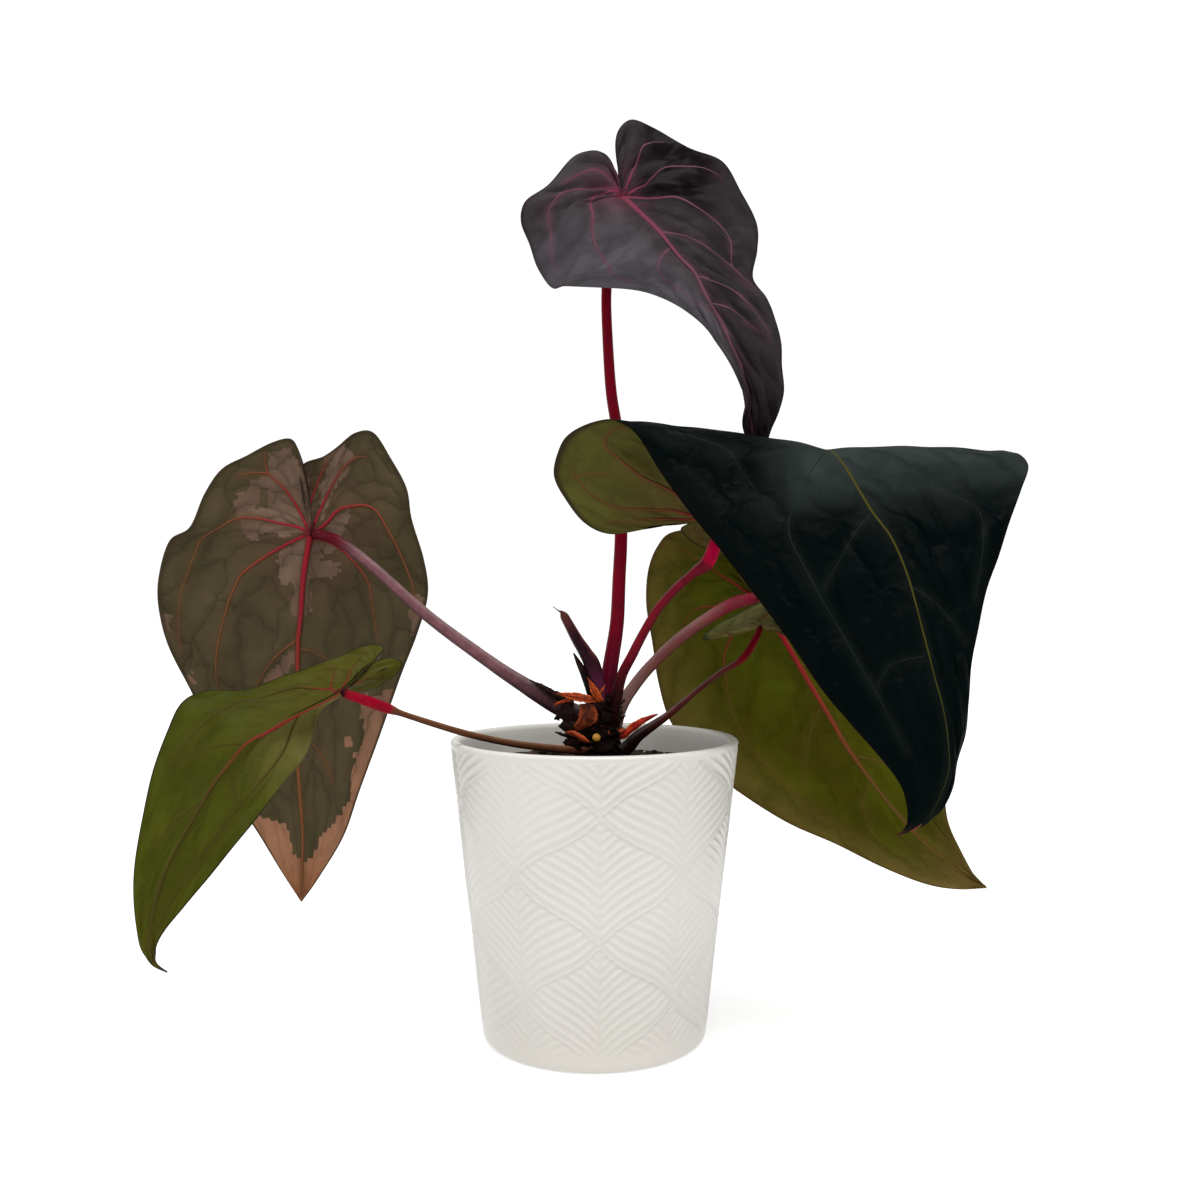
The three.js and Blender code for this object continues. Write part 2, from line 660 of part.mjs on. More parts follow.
for (const [name, scale] of Object.entries(scales)) {
  const shape = { ...scale, arch: 0.6, wave: 0.4, waves: 2, stepsPerRow: 2 };
  addPiece(name, largestBody(blade(shape).subtract(taken)), scale.slot);
  taken = taken.add(blade(shape, clearance));
}

const budShape = stalk(rootBud, 6, 8);
addPiece('root_bud', largestBody(budShape.subtract(taken)), 'root_bud');

export default part;
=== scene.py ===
"""Potted anthurium hybrid: fine blades, veins, stalks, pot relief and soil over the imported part.

The plant's front faces -Y and +Z is up. Blender works in metres. Tables of places are in mm.
"""

import math
from types import SimpleNamespace

import bpy
import numpy as np
from mathutils import Matrix, Vector
from mathutils.kdtree import KDTree


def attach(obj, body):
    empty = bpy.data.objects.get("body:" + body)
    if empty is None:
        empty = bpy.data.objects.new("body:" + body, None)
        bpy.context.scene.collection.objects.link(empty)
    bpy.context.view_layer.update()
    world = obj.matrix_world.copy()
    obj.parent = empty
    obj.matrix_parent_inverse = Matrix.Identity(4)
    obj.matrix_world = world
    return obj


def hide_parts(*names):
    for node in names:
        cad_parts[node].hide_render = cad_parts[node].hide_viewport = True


bl_info = {
    "name": "Potted anthurium hybrid",
    "version": (1, 0, 0),
    "blender": (4, 5, 0),
    "location": "View3D > Sidebar > Anthurium",
    "description": "Builds the fine leaves, pot and soil of a potted anthurium round its packed part",
    "category": "Object",
}

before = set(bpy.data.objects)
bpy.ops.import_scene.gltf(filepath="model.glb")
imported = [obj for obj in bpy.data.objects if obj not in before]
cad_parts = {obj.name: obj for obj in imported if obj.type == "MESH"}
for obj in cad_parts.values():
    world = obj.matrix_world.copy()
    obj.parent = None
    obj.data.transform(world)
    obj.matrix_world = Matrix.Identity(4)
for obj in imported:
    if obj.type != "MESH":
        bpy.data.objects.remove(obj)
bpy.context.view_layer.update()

MM = 0.001

# Each leaf seen from its upper side with the tip down. A row holds a place on the left margin, one on
# the midrib and one on the right margin. Rows of two places leave out the midrib's: they all start at
# "hub", the petiole's top, and fan out into the basal lobes. The blade arches by "arch" between midrib
# and margin, and its margins wave by "wave" in as many "waves". It puckers by "pucker" and swells
# between its veins by "quilt". A vein has its width at the start and its places as (row, across), with
# across -1 on the left margin, 0 on the midrib and 1 on the right margin.
LEAVES = {
    "top_leaf": {
        "hub": (13, -4, 408),
        "rows": (
            ((11.6, -2, 412), (12.9, -2, 412)),
            ((9.4, 0.5, 422), (12.2, 3, 423)),
            ((5, 3, 430), (11, 10, 442)),
            ((-2, 2, 432), (18, 13, 452)),
            ((-11, -1, 428), (30, 13, 447)),
            ((-22.5, -6, 413), (47, 9, 435)),
            ((-33.5, -10, 403), (63, 4, 427)),
            ((-35.5, -11, 393), (72, -1, 411)),
            ((-31.3, -12, 382), (19, -9, 401), (79, -6, 394)),
            ((-27.2, -13, 370.5), (27, -13, 392), (78, -12, 379)),
            ((-20.5, -13.5, 361.2), (33, -17, 384), (75, -18, 364)),
            ((-13.5, -12.6, 362.4), (40, -21, 374), (81, -23, 354)),
            ((16, -13, 361), (47, -24, 366), (85, -27, 343)),
            ((33, -19, 355), (52, -27, 355), (87, -30, 332)),
            ((48, -25, 344), (57, -29, 345), (87, -31, 321)),
            ((58, -29, 331), (62, -31, 333), (88, -30, 309)),
            ((65, -31, 318), (68, -31, 321), (86, -28, 300)),
            ((70, -28, 305), (72, -28, 308), (83, -24, 292)),
            ((70, -22, 294), (74, -23, 295), (81, -20, 285)),
        ),
        "tip": (76, -15, 278),
        "arch": 3,
        "wave": 1,
        "waves": 4,
        "pucker": 2.0,
        "quilt": 2.2,
        "veins": (
            (1.5, ((7, 0), (10, 0.02), (13.4, 0.01), (15.5, 0.06), (17, 0.02), (18.8, 0))),
            (1.2, ((3.6, -0.06), (5.9, -0.26), (7.6, -0.35), (8.8, -0.48), (10.5, -0.53),
                   (11.7, -0.7))),
            (1.1, ((3.2, -0.08), (4.8, -0.32), (5.3, -0.6), (6.2, -0.68), (7.8, -0.77), (9.2, -0.88))),
            (0.9, ((3.2, -0.11), (3.4, -0.32), (4.1, -0.57), (4.9, -0.8))),
            (0.8, ((10.5, 0), (10.8, -0.12), (11.5, -0.29), (12.3, -0.46), (13.3, -0.37),
                   (13.9, -0.16))),
            (1.0, ((4.2, 0.07), (3.9, 0.56), (4.1, 0.73), (4.5, 0.88))),
            (1.1, ((6.6, 0.04), (5.7, 0.27), (5.4, 0.52), (5.9, 0.74), (6.5, 0.89))),
            (1.2, ((7.2, 0.02), (7.4, 0.18), (7.4, 0.39), (7.8, 0.52), (8.5, 0.68), (9.6, 0.76),
                   (11, 0.82))),
            (0.9, ((12.2, 0), (12, 0.3), (12.5, 0.64), (13.2, 0.84))),
            (0.8, ((13.4, 0.01), (13.1, 0.36), (13.4, 0.68))),
            (0.8, ((9.6, 0), (9.4, 0.25), (9.9, 0.55), (11, 0.76))),
        ),
    },
    "variegated_leaf": {
        "hub": (-145, 26, 246),
        "rows": (
            ((-148, 28, 252), (-144, 25, 251)),
            ((-150, 29, 265), (-146.5, 25, 267)),
            ((-151, 30, 281), (-149.5, 24, 283)),
            ((-139, 29, 286), (-154, 26, 294)),
            ((-131, 29, 291), (-165, 27, 293)),
            ((-122, 28, 298), (-178, 25, 286)),
            ((-113, 26, 298), (-190, 24, 279)),
            ((-104, 24, 285), (-198, 22, 266)),
            ((-95, 22, 269), (-205, 20, 249)),
            ((-92, 20, 253), (-146, 27, 240), (-215, 18, 242)),
            ((-86, 18, 233), (-148, 27, 225), (-219.8, 17, 226)),
            ((-84, 17, 215), (-150, 28, 208), (-219.8, 16, 210)),
            ((-89, 16, 195), (-152, 28, 189), (-215, 17, 189)),
            ((-97, 17, 174), (-152, 28, 166), (-204, 18, 166)),
            ((-107, 18, 147), (-152, 27, 140), (-192, 20, 139)),
            ((-119, 19, 116), (-150, 25, 115), (-180, 21, 109)),
            ((-127, 19, 93), (-148, 22, 93), (-168, 20, 90)),
            ((-138.6, 17, 73), (-147.5, 18, 73), (-157, 18, 73)),
        ),
        "tip": (-147.5, 15, 60.5),
        "arch": 5,
        "wave": 1.2,
        "waves": 4,
        "pucker": 0.6,
        "quilt": 0.9,
        "veins": (
            (2.6, ((8.4, 0), (10.1, 0.01), (12, 0), (14.6, 0.02), (16, 0.02), (17.7, 0.04))),
            (1.7, ((4.4, 0.08), (4.3, 0.22), (4.4, 0.44), (4.6, 0.62), (4.9, 0.77), (5.9, 0.86))),
            (1.0, ((4.8, 0.72), (4.6, 0.84), (4.4, 0.94))),
            (1.8, ((6.3, 0.06), (7, 0.25), (7.2, 0.48), (7.5, 0.68), (8.1, 0.8))),
            (2.0, ((8.4, 0.05), (9, 0.17), (9.9, 0.42), (10.4, 0.48), (11.6, 0.58), (12.9, 0.75))),
            (0.8, ((8.1, 0.8), (9.4, 0.79), (10.9, 0.85), (12.2, 0.92))),
            (1.3, ((11.9, 0.02), (12.2, 0.15), (12.5, 0.26), (13.3, 0.5))),
            (0.8, ((12.1, -0.01), (12.2, -0.12), (12.5, -0.28))),
            (1.6, ((1.5, -0.15), (2.4, -0.5), (2.9, -0.78), (3.3, -0.93))),
            (1.8, ((3.6, -0.11), (3.9, -0.37), (4.3, -0.57), (5.3, -0.7), (6.3, -0.8))),
            (2.0, ((7.8, -0.07), (7, -0.28), (7.4, -0.44), (8, -0.6), (9.2, -0.75), (10.5, -0.85),
                   (11.4, -0.9))),
            (1.6, ((8.8, -0.08), (9, -0.16), (9.5, -0.32), (10.3, -0.48), (11.2, -0.55),
                   (12.2, -0.66))),
            (0.9, ((13.4, 0), (13.9, 0.25), (14.5, 0.5))),
            (0.9, ((13.8, 0), (14.3, -0.25), (14.9, -0.5))),
        ),
    },
    "small_front_leaf": {
        "hub": (-115, -45, 171),
        "rows": (
            ((-113, -43, 174), (-112, -43, 173.5)),
            ((-110.5, -38, 177), (-107, -37, 179)),
            ((-105, -33, 183), (-100, -28, 187)),
            ((-97, -29, 186), (-99, -25, 191)),
            ((-90, -27, 184), (-107, -24, 191)),
            ((-92, -26, 179), (-118, -25, 187)),
            ((-102, -27, 172), (-132, -27, 182)),
            ((-114, -29, 169), (-147, -29, 177)),
            ((-123, -32, 164), (-128, -48, 164), (-163, -32, 171)),
            ((-127, -37, 157), (-141, -51, 157), (-178, -36, 171)),
            ((-130, -46, 143), (-153, -55, 149), (-188, -41, 166)),
            ((-138, -54, 131), (-160, -58, 141), (-193, -47, 153)),
            ((-147, -62, 118), (-167, -62, 132), (-197, -54, 137)),
            ((-156, -69, 106), (-174, -67, 119), (-199, -61, 119)),
            ((-166, -74, 93), (-181, -72, 105), (-200, -68, 99)),
            ((-175, -78, 82), (-186, -76, 91), (-198, -74, 84)),
            ((-184, -80, 70.5), (-189, -79, 73), (-194, -78, 67)),
            ((-186.6, -80.8, 62.4), (-188.2, -80.4, 62.6), (-190, -80, 60.6)),
            ((-185.4, -81, 58.2), (-186, -81, 58), (-186.7, -81, 57.5)),
        ),
        "tip": (-181, -81, 55),
        "arch": 2,
        "wave": 0.6,
        "waves": 3,
        "pucker": 0.7,
        "quilt": 1.1,
        "veins": (
            (1.7, ((7, 0), (8.8, -0.05), (10.1, 0.02), (12, 0), (14, -0.02), (16.6, -0.02), (17.7, 0))),
            (1.3, ((6.5, 0.18), (7, 0.4), (7.3, 0.63), (8.2, 0.71), (9.7, 0.6), (10.6, 0.67),
                   (11.6, 0.75))),
            (1.0, ((7.1, 0.05), (6, 0.35), (5.4, 0.7), (5.8, 0.84))),
            (1.0, ((4.5, 0.12), (4.3, 0.58), (4, 0.84))),
            (0.8, ((10.1, 0.02), (10.5, 0.23), (11, 0.44), (11.6, 0.66))),
            (1.2, ((7.4, -0.04), (8.6, -0.4), (10.2, -0.62), (12.3, -0.6), (13.9, -0.57),
                   (15.6, -0.56))),
            (0.8, ((11.3, -0.02), (11.7, -0.3), (12.2, -0.58))),
            (0.9, ((5, -0.1), (4.6, -0.4), (5.2, -0.75))),
            (0.7, ((12.6, 0), (13, 0.25), (13.7, 0.6))),
        ),
    },
    "folded_leaf": {
        "hub": (64, -15, 251),
        "rows": (
            ((58, -12, 254), (58, -12, 254)),
            ((48, -10, 254), (50, -6, 251)),
            ((35, -9, 249), (42, 0, 247)),
            ((22, -10, 246), (48, 4, 241)),
            ((7, -12, 244), (55, 6, 238)),
            ((-5, -14, 249), (72, 8, 232)),
            ((-14, -16, 260), (97, 6, 232)),
            ((-20, -18, 272), (73, -22, 258), (125, 0, 239)),
            ((-17, -21, 285), (84, -29, 267), (153, -14, 250)),
            ((-12, -23, 291), (94, -36, 274), (174, -33, 262)),
            ((-4, -25, 295), (100, -42, 279), (183.5, -50, 275)),
            ((5, -28, 297), (105, -48, 280), (187, -58, 277.4)),
            ((11, -32, 295), (109, -56, 275), (190.6, -63, 271)),
            ((19, -39, 288), (114, -64, 264), (185, -70, 260)),
            ((30, -48, 269), (120, -71, 251), (178, -76, 246)),
            ((43, -57, 250), (126, -77, 240), (172, -80, 231)),
            ((56, -65, 233), (131, -83, 225), (166, -83, 217)),
            ((69, -72, 215), (134, -88, 211), (161, -87, 200)),
            ((83, -80, 195), (137, -92, 196), (157, -90, 185)),
            ((95, -86, 176), (140, -96, 181), (155, -93, 171)),
            ((107, -91, 161), (143, -99, 167), (153, -96, 158)),
            ((118, -96, 148), (144, -102, 154), (149, -99, 147)),
            ((126, -100, 136), (143, -104, 142), (146, -102, 136)),
            ((127, -105, 124), (134, -107, 124), (138, -106, 126)),
        ),
        "tip": (122.5, -108, 118.6),
        "arch": 0.8,
        "wave": 0.5,
        "waves": 4,
        "pucker": 0.7,
        "quilt": 1.1,
        "veins": (
            (2.0, ((6, 0), (11.5, 0), (14.1, 0), (15.6, 0.02), (18.8, 0.03), (21, 0.04), (23.6, 0.1))),
            (1.2, ((11.7, -0.04), (13.5, -0.26), (15.1, -0.51), (16.2, -0.56), (17.8, -0.57),
                   (19.4, -0.55), (21, -0.6))),
            (0.9, ((14.1, -0.01), (15.4, -0.24), (16.8, -0.53))),
            (0.8, ((18.4, -0.02), (18.6, -0.32), (19.2, -0.54))),
            (0.9, ((12.2, -0.75), (12.7, -0.57), (13.5, -0.55), (15.1, -0.51))),
            (1.2, ((12.5, 0.1), (13, 0.43), (13.4, 0.62), (13.8, 0.77), (14.9, 0.84), (16.4, 0.88))),
            (1.8, ((6.2, -0.12), (7, -0.39), (7.4, -0.57), (7.9, -0.71), (8.4, -0.8), (9.4, -0.85),
                   (10.4, -0.85))),
            (1.6, ((5.4, -0.1), (6.1, -0.3), (6, -0.48), (5.9, -0.67), (6.3, -0.8), (7.2, -0.89))),
            (1.2, ((5, -0.12), (5.2, -0.5), (4.9, -0.88))),
            (0.8, ((7.3, -0.72), (7.2, -0.82), (7, -0.9))),
            (1.5, ((5, 0.1), (4.6, 0.4), (5, 0.8))),
            (1.5, ((6.3, 0.06), (7.4, 0.4), (8.8, 0.7), (10.6, 0.86))),
            (0.9, ((16.4, 0), (16.8, 0.4), (17.4, 0.8))),
        ),
    },
    "drooping_leaf": {
        "hub": (87, 60, 213),
        "rows": (
            ((84, 60, 217), (84, 60, 217)),
            ((80, 62, 227), (77.5, 63, 226)),
            ((74, 65, 243), (73, 65, 240)),
            ((74, 65, 256), (61, 68, 250)),
            ((83, 63, 262), (42, 72, 249)),
            ((100, 60, 261), (34, 74, 242)),
            ((118, 57, 254), (29, 76, 229)),
            ((134, 54, 241), (90, 60, 208), (28, 77, 210)),
            ((148, 52, 225), (98, 61, 197), (31, 76, 189)),
            ((160, 51, 206), (107, 62, 182), (34, 77, 167)),
            ((169, 51, 186), (116, 64, 167), (41, 78, 144)),
            ((177, 52, 165), (126, 66, 151), (57, 79, 123)),
            ((183, 54, 145), (137, 68, 134), (78, 79, 106)),
            ((188, 57, 125), (151, 70, 115), (106, 78, 88)),
            ((189, 61, 105), (164, 71, 98), (133, 77, 76)),
            ((192, 65, 90), (179, 72, 81), (158, 77, 64)),
            ((199, 69, 76), (194, 73, 68), (182, 76, 55)),
            ((208, 72, 61), (206, 74, 58), (200, 75, 52)),
        ),
        "tip": (215.8, 74, 53),
        "arch": 6,
        "wave": 1.2,
        "waves": 4,
        "pucker": 0.9,
        "quilt": 1.2,
        "veins": (
            (2.7, ((6.1, 0), (7.8, 0), (10.9, 0), (12.5, 0.02), (14.7, 0.02), (16.6, 0), (17.7, 0))),
            (1.4, ((4.9, 0.07), (4.7, 0.25), (4.7, 0.45), (4.5, 0.64), (4.6, 0.85))),
            (1.3, ((6.5, 0.05), (7, 0.33), (7.2, 0.59), (7.7, 0.74))),
            (1.5, ((7.1, 0.08), (7.9, 0.31), (8.7, 0.48), (9.6, 0.54), (10.6, 0.61), (12.2, 0.68),
                   (14, 0.74))),
            (0.9, ((10.8, 0.02), (11.4, 0.19), (11.9, 0.33), (12.6, 0.58))),
            (1.4, ((1.5, -0.15), (2.6, -0.5), (3.4, -0.85))),
            (1.4, ((4, -0.12), (4.4, -0.4), (5, -0.65), (6.4, -0.82))),
            (1.5, ((6.4, -0.06), (7.4, -0.3), (8.6, -0.5), (10.4, -0.64), (12.6, -0.76))),
            (1.0, ((9.4, -0.01), (10, -0.2), (11, -0.45), (12, -0.66))),
            (1.0, ((12.4, 0), (12.9, -0.3), (13.8, -0.62))),
            (0.9, ((13, 0), (13.6, 0.3), (14.4, 0.6))),
        ),
    },
    "hidden_leaf": {
        "hub": (82, 2, 200),
        "rows": (
            ((80, 3, 202), (80, 3, 202)),
            ((83, -1, 198), (73, 8, 199)),
            ((85, -4, 197), (64, 13, 197)),
            ((88, -7, 197), (56, 15, 192)),
            ((91, -9, 196), (55, 18, 194)),
            ((95, -10, 194), (85, 2, 199), (64, 20, 200)),
            ((99, -10, 190), (91, 1, 198), (76, 19, 207)),
            ((107, -9, 184), (99, 1, 195), (88, 16, 214)),
            ((118, -8, 178), (111, 1, 191), (103, 13, 218)),
            ((130, -6, 172), (124, 1, 185), (118, 10, 218)),
            ((142, -4, 167), (137, 1, 179), (132, 7, 212)),
            ((152, -2, 163), (148, 1, 173), (146, 5, 201)),
            ((161, -1, 160), (158, 1, 168), (156, 3, 187)),
            ((168, 0, 159), (166, 0, 163), (164, 1, 173)),
        ),
        "tip": (172, 0, 157),
        "arch": 2,
        "wave": 0.5,
        "waves": 3,
        "pucker": 0.5,
        "quilt": 0.6,
        "veins": (
            (1.5, ((4.1, 0), (6, 0), (9, 0), (12, 0), (13.7, 0))),
            (1.0, ((2.4, -0.1), (2.8, -0.5), (3.4, -0.85))),
            (1.0, ((4.6, -0.06), (6, -0.35), (8, -0.6), (10, -0.74))),
            (1.0, ((2.6, 0.1), (3, 0.5), (3.2, 0.85))),
            (1.0, ((4.8, 0.06), (5.8, 0.4), (7.4, 0.65), (9.6, 0.78))),
        ),
    },
}

# Where the variegated leaf is pink, and the green patches in it, as outlines of (x, z) in mm.
PINK_SECTORS = (
    ((-145, 248), (-148, 276), (-156, 290), (-167, 288), (-168, 276), (-177, 273), (-177, 269),
     (-183, 267), (-184, 259), (-182, 253), (-178, 244), (-170, 242)),
    ((-161, 235), (-161, 220), (-151, 220), (-157, 214), (-156, 207), (-152, 204), (-145, 206),
     (-146, 227), (-131, 229), (-131, 239), (-144, 240)),
    ((-141, 249), (-126, 259), (-127, 249), (-135, 242)),
    ((-141.5, 250), (-137.5, 258), (-133, 270), (-127, 279), (-122, 290), (-131, 292), (-139, 284),
     (-142, 268)),
    ((-145, 246.5), (-161, 237), (-163, 231), (-160, 220), (-131, 225), (-131, 239), (-140, 245)),
    ((-171, 171), (-157, 186), (-151, 184), (-165, 166)),
    ((-224, 204), (-214, 204), (-214, 184), (-224, 184)),
    ((-213, 175), (-203, 175), (-203, 167), (-213, 167)),
    ((-94, 214), (-80, 214), (-80, 194), (-93, 194)),
    ((-129, 141), (-124, 141), (-124, 136), (-129, 136)),
    ((-121, 161), (-117, 142), (-123, 132), (-125, 111), (-131, 101), (-141, 89), (-143, 81),
     (-152, 80), (-156, 94), (-159, 97), (-171, 102), (-186, 102), (-186, 55), (-109, 55), (-78, 166),
     (-114, 167)),
)
GREEN_PATCHES = (
    ((-173, 270), (-168, 270), (-168, 259), (-173, 259)),
    ((-172, 246), (-161, 246), (-161, 238), (-172, 238)),
    ((-140, 237), (-130, 237), (-130, 232), (-140, 232)),
    ((-145, 281), (-138, 281), (-138, 273), (-145, 273)),
    ((-127, 292), (-122, 292), (-122, 288), (-127, 288)),
    ((-116, 166), (-108, 166), (-108, 162), (-116, 162)),
)

# Petioles from the stem to the blade: places along the middle in mm, with the radius there.
PETIOLES = {
    "top_leaf": (
        (5, 2, 157, 4.2), (6, 2, 168, 4.1), (8, 1, 181, 3.8), (11, 0, 201, 3.4), (12, -1, 222, 3.2),
        (13, 0, 243, 3.1), (13, 2, 271, 2.9), (11, 3, 296, 2.8), (8, 4, 317, 2.7), (6, 4, 351, 2.5),
        (6, 3, 367, 2.5), (7, 1, 389, 2.7), (10, -1, 402, 2.7), (13, -4, 408, 2.2),
    ),
    "variegated_leaf": (
        (-2, 0, 154, 4.6), (-16, 0, 159.5, 4.6), (-29, 0, 167.3, 4.3), (-36, 0.3, 171.6, 3.8),
        (-50, 1, 180.8, 3.3), (-81, 5, 203.2, 2.9), (-109, 10, 227.4, 2.6), (-125, 15, 239.4, 2.6),
        (-134, 19, 243.8, 2.7), (-145, 25.5, 246, 2.5),
    ),
    "small_front_leaf": (
        (-2, -6, 139, 2.2), (-14, -11, 140.4, 1.9), (-33, -20, 143.6, 1.7), (-48, -25, 146.9, 1.6),
        (-62, -30, 151, 1.55), (-76, -35, 156, 1.45), (-88, -38, 160.4, 1.4), (-92, -39, 162, 2.0),
        (-96, -40, 163.6, 2.5), (-104, -43, 167, 2.4), (-115, -45, 171, 1.9),
    ),
    "folded_leaf": (
        (8, -3, 143, 3.2), (9, -4, 153, 3), (11, -6, 166, 2.7), (13.4, -7, 176, 2.5),
        (18.4, -9, 186, 2.4), (23.4, -11, 196, 2.2), (30.4, -13, 208, 2.1), (39, -15, 218, 2.1),
        (46.4, -16.4, 224.4, 2.2), (49.6, -17, 226.8, 2.9), (52.8, -17.6, 229, 3.3),
        (55.4, -18, 233, 3.3), (57.6, -18, 239, 3), (64, -15, 251, 2.4),
    ),
    "drooping_leaf": (
        (9, 4, 142, 3.6), (10.8, 6, 152, 3.4), (13.6, 8, 160, 3.2), (19, 13, 168, 3),
        (28.6, 20, 179, 2.9), (46, 32, 194, 3), (69, 48, 208, 3.3), (81, 56, 212, 3.2),
        (87, 60, 213, 2.6),
    ),
    "hidden_leaf": (
        (13, -7, 138, 3.6), (17, -8, 142, 3.3), (22, -9, 147.3, 2.7), (36, -8, 157, 1.8),
        (48, -7, 167, 1.4), (61, -6, 177, 1.4), (68, -5.4, 181, 1.6), (73, -4.8, 185, 1.8),
        (78, -3, 192.4, 1.8), (82, 2, 200, 1.5),
    ),
}

SPEARS = {
    "tall_spear_sheath": (
        (2.5, -10, 161, 2.6), (1.8, -10, 171, 3.3), (-1, -9.5, 181, 3.8), (-4.4, -9, 187, 3.2),
        (-8.2, -8.5, 193, 2.7), (-12.3, -8, 200.4, 2.3), (-14.6, -7.6, 204.6, 2),
        (-15.9, -7.5, 206.4, 0.9), (-17.4, -7.3, 207.2, 0.3), (-20.3, -7, 209.4, 0.2),
    ),
    "short_spear_sheath": (
        (1, -6, 158, 2.6), (-1.5, -8, 168, 2.5), (-4.6, -8.5, 176, 2), (-7.6, -9, 182, 1.3),
        (-10.2, -9, 187, 0.3),
    ),
}
ROOT_BUD = ((1, -10, 146.6, 1.4), (1, -14, 146.6, 1.9), (1, -15.3, 146.6, 1.8), (1, -16, 146.6, 0.8))
TWIG = ((-37, 42, 130, 1.5), (-26, 40, 133, 1.8), (-16, 41, 130, 1.3))

# Dry scales at the crown, each with rows like a leaf's.
SCALES = {
    "orange_sheath_top": (
        ((-19, -8, 167.4), (-19, -8, 167.4), (-19, -8, 167.4)),
        ((-12, -12, 168.2), (-12, -13, 166.6), (-11.7, -13, 164.8)),
        ((-4, -14, 167.4), (-4, -15, 165.6), (-4, -15, 163.2)),
        (5, -13, 163.6),
    ),
    "orange_sheath_peak": (
        ((2, -15, 163.6), (3.5, -15, 163.6), (4.8, -15, 164.4)),
        ((-1, -15, 167), (1, -16, 167.4), (3, -15, 167.8)),
        ((-2.2, -14.4, 170.6), (-1, -15, 171), (0.6, -14.4, 171.4)),
        (-3.4, -13, 175.6),
    ),
    "orange_sheath_front": (
        ((-7.4, -14, 162.6), (-3.6, -15.6, 163.2), (0.4, -16, 162)),
        ((-7.6, -14, 158.4), (-3, -16.2, 158.6), (2, -16, 158.6)),
        ((-8, -14, 154.8), (-3.6, -16, 155), (1.4, -16, 154.8)),
        ((-10.2, -13, 152.2), (-6, -15, 152), (-2, -15.4, 152.4)),
        (-8.6, -13.4, 149.8),
    ),
    "orange_sheath_low": (
        ((-1.4, -16, 144.4), (-1.4, -16, 144.4), (-1.4, -16, 144.4)),
        ((-5, -15.6, 144.6), (-5.2, -16.4, 146), (-5.4, -15, 147.6)),
        ((-9, -14, 146.8), (-9.3, -14.6, 148.2), (-9.6, -13.4, 149.8)),
        (-14.6, -11, 148.8),
    ),
    "orange_sheath_right": (
        ((12.4, -11, 144.8), (12.4, -11, 145.4), (12.4, -11, 146)),
        ((16, -11, 146.8), (15.5, -12, 148.6), (15, -10, 150.4)),
        ((23, -11, 152.4), (22.4, -11.6, 153.8), (21.8, -9.6, 155.2)),
        (31, -10, 157.6),
    ),
    "dark_sheath_left": (
        ((-10, -4, 160), (-10, -5, 162), (-10, -3, 164.6)),
        ((-18.6, -5, 163.6), (-18.4, -5.6, 165.6), (-17.8, -3.6, 167.8)),
        ((-25, -5, 168), (-24.8, -5.2, 169.4), (-24, -3.6, 171)),
        (-31.6, -3.6, 173.4),
    ),
}

# Torn remains of older sheaths that hang and stick out at the crown's left.
TORN_SHEATHS = (
    (((-10, -8, 162), (-10, -10, 158), (-9, -9, 153)),
     ((-16, -6, 161), (-16, -9, 157), (-14, -8, 152.4)), (-19.4, -6, 154.6)),
    (((-9, -10, 156), (-9, -11, 152), (-8, -10, 147)),
     ((-13.6, -8, 155), (-14, -10, 151), (-13, -9, 147.6)), (-17.6, -7, 151.4)),
    (((-8, -11, 150), (-8, -12, 147), (-7, -11, 144)),
     ((-13, -9, 148.6), (-13.6, -10, 147), (-12, -9, 145)), (-19, -7, 148.4)),
    (((-7, -12, 147), (-7, -12, 143), (-6, -11, 139)),
     ((-12, -9, 147), (-12.4, -10, 143), (-11, -9, 139)), (-15.6, -8, 143.6)),
    (((4, -13, 166), (5, -13.6, 163), (4, -13, 159)),
     ((1.4, -14, 165), (1, -15, 162), (2, -14, 159)), (-1.6, -14, 161.4)),
)
TORN_ORANGE_SHEATHS = (
    (((-11, -11, 165.2), (-11, -11.6, 164.4), (-11, -11, 163.6)),
     ((-15, -10, 164.4), (-15, -10.6, 163.6), (-15, -10, 162.6)), (-19.6, -8, 161.6)),
    (((0.6, -14.4, 166.4), (1.2, -14.8, 166.8), (1.8, -14.4, 167.2)),
     ((3, -13.6, 169.6), (3.5, -14, 169), (4, -13.6, 168.4)), (5.4, -12.4, 172)),
    (((11, -11, 150.4), (12, -11.6, 148.6), (12.4, -11, 146.6)),
     ((13.4, -11, 150.6), (13.8, -12, 149.2), (13.6, -11, 147.6)), (15.4, -10.6, 150.4)),
)

# The stem's ringed outline as (height, radius), and how far it leans to the right for each mm of height.
STEM_OUTLINE = (
    (112, 11), (126, 12), (134, 12.5), (137, 11.4), (141, 12), (144, 10.8), (148, 11.2), (151, 9.8),
    (155, 10.2), (158, 8.8), (163, 8), (167, 5),
)
STEM_LEAN = 0.07

POT_HEIGHT = 145
POT_TOP_RADIUS = 70
POT_BASE_RADIUS = 54
POT_WALL = 4.5
POT_FLOOR = 6
# The rounded lip, as heights and how far it stands out from the tapered wall.
POT_LIP = ((143.5, 0.25), (144.3, -0.2), (144.85, -1.0), (145, -2.1), (144.8, -3.2), (144.1, -4.1))
PATTERN_RADIUS = 60
SOIL_TOP = 131
CHIPS_REACH = 61.5

# Stalks have faint ribs. Fibres stand at these heights, each a golden share of a turn further round.
STALK_RIBS = 5
FIBRE_HEIGHTS = (139, 162)
GOLDEN_TURN = 0.382

# How far from a vein, in metres, a blade has risen to its swelling and the vein's flush has faded, and
# how far from the margin the swelling is whole.
QUILT_SLOPE = 0.0055
FLUSH_WIDTH = 0.0022
MARGIN_SLOPE = 0.006

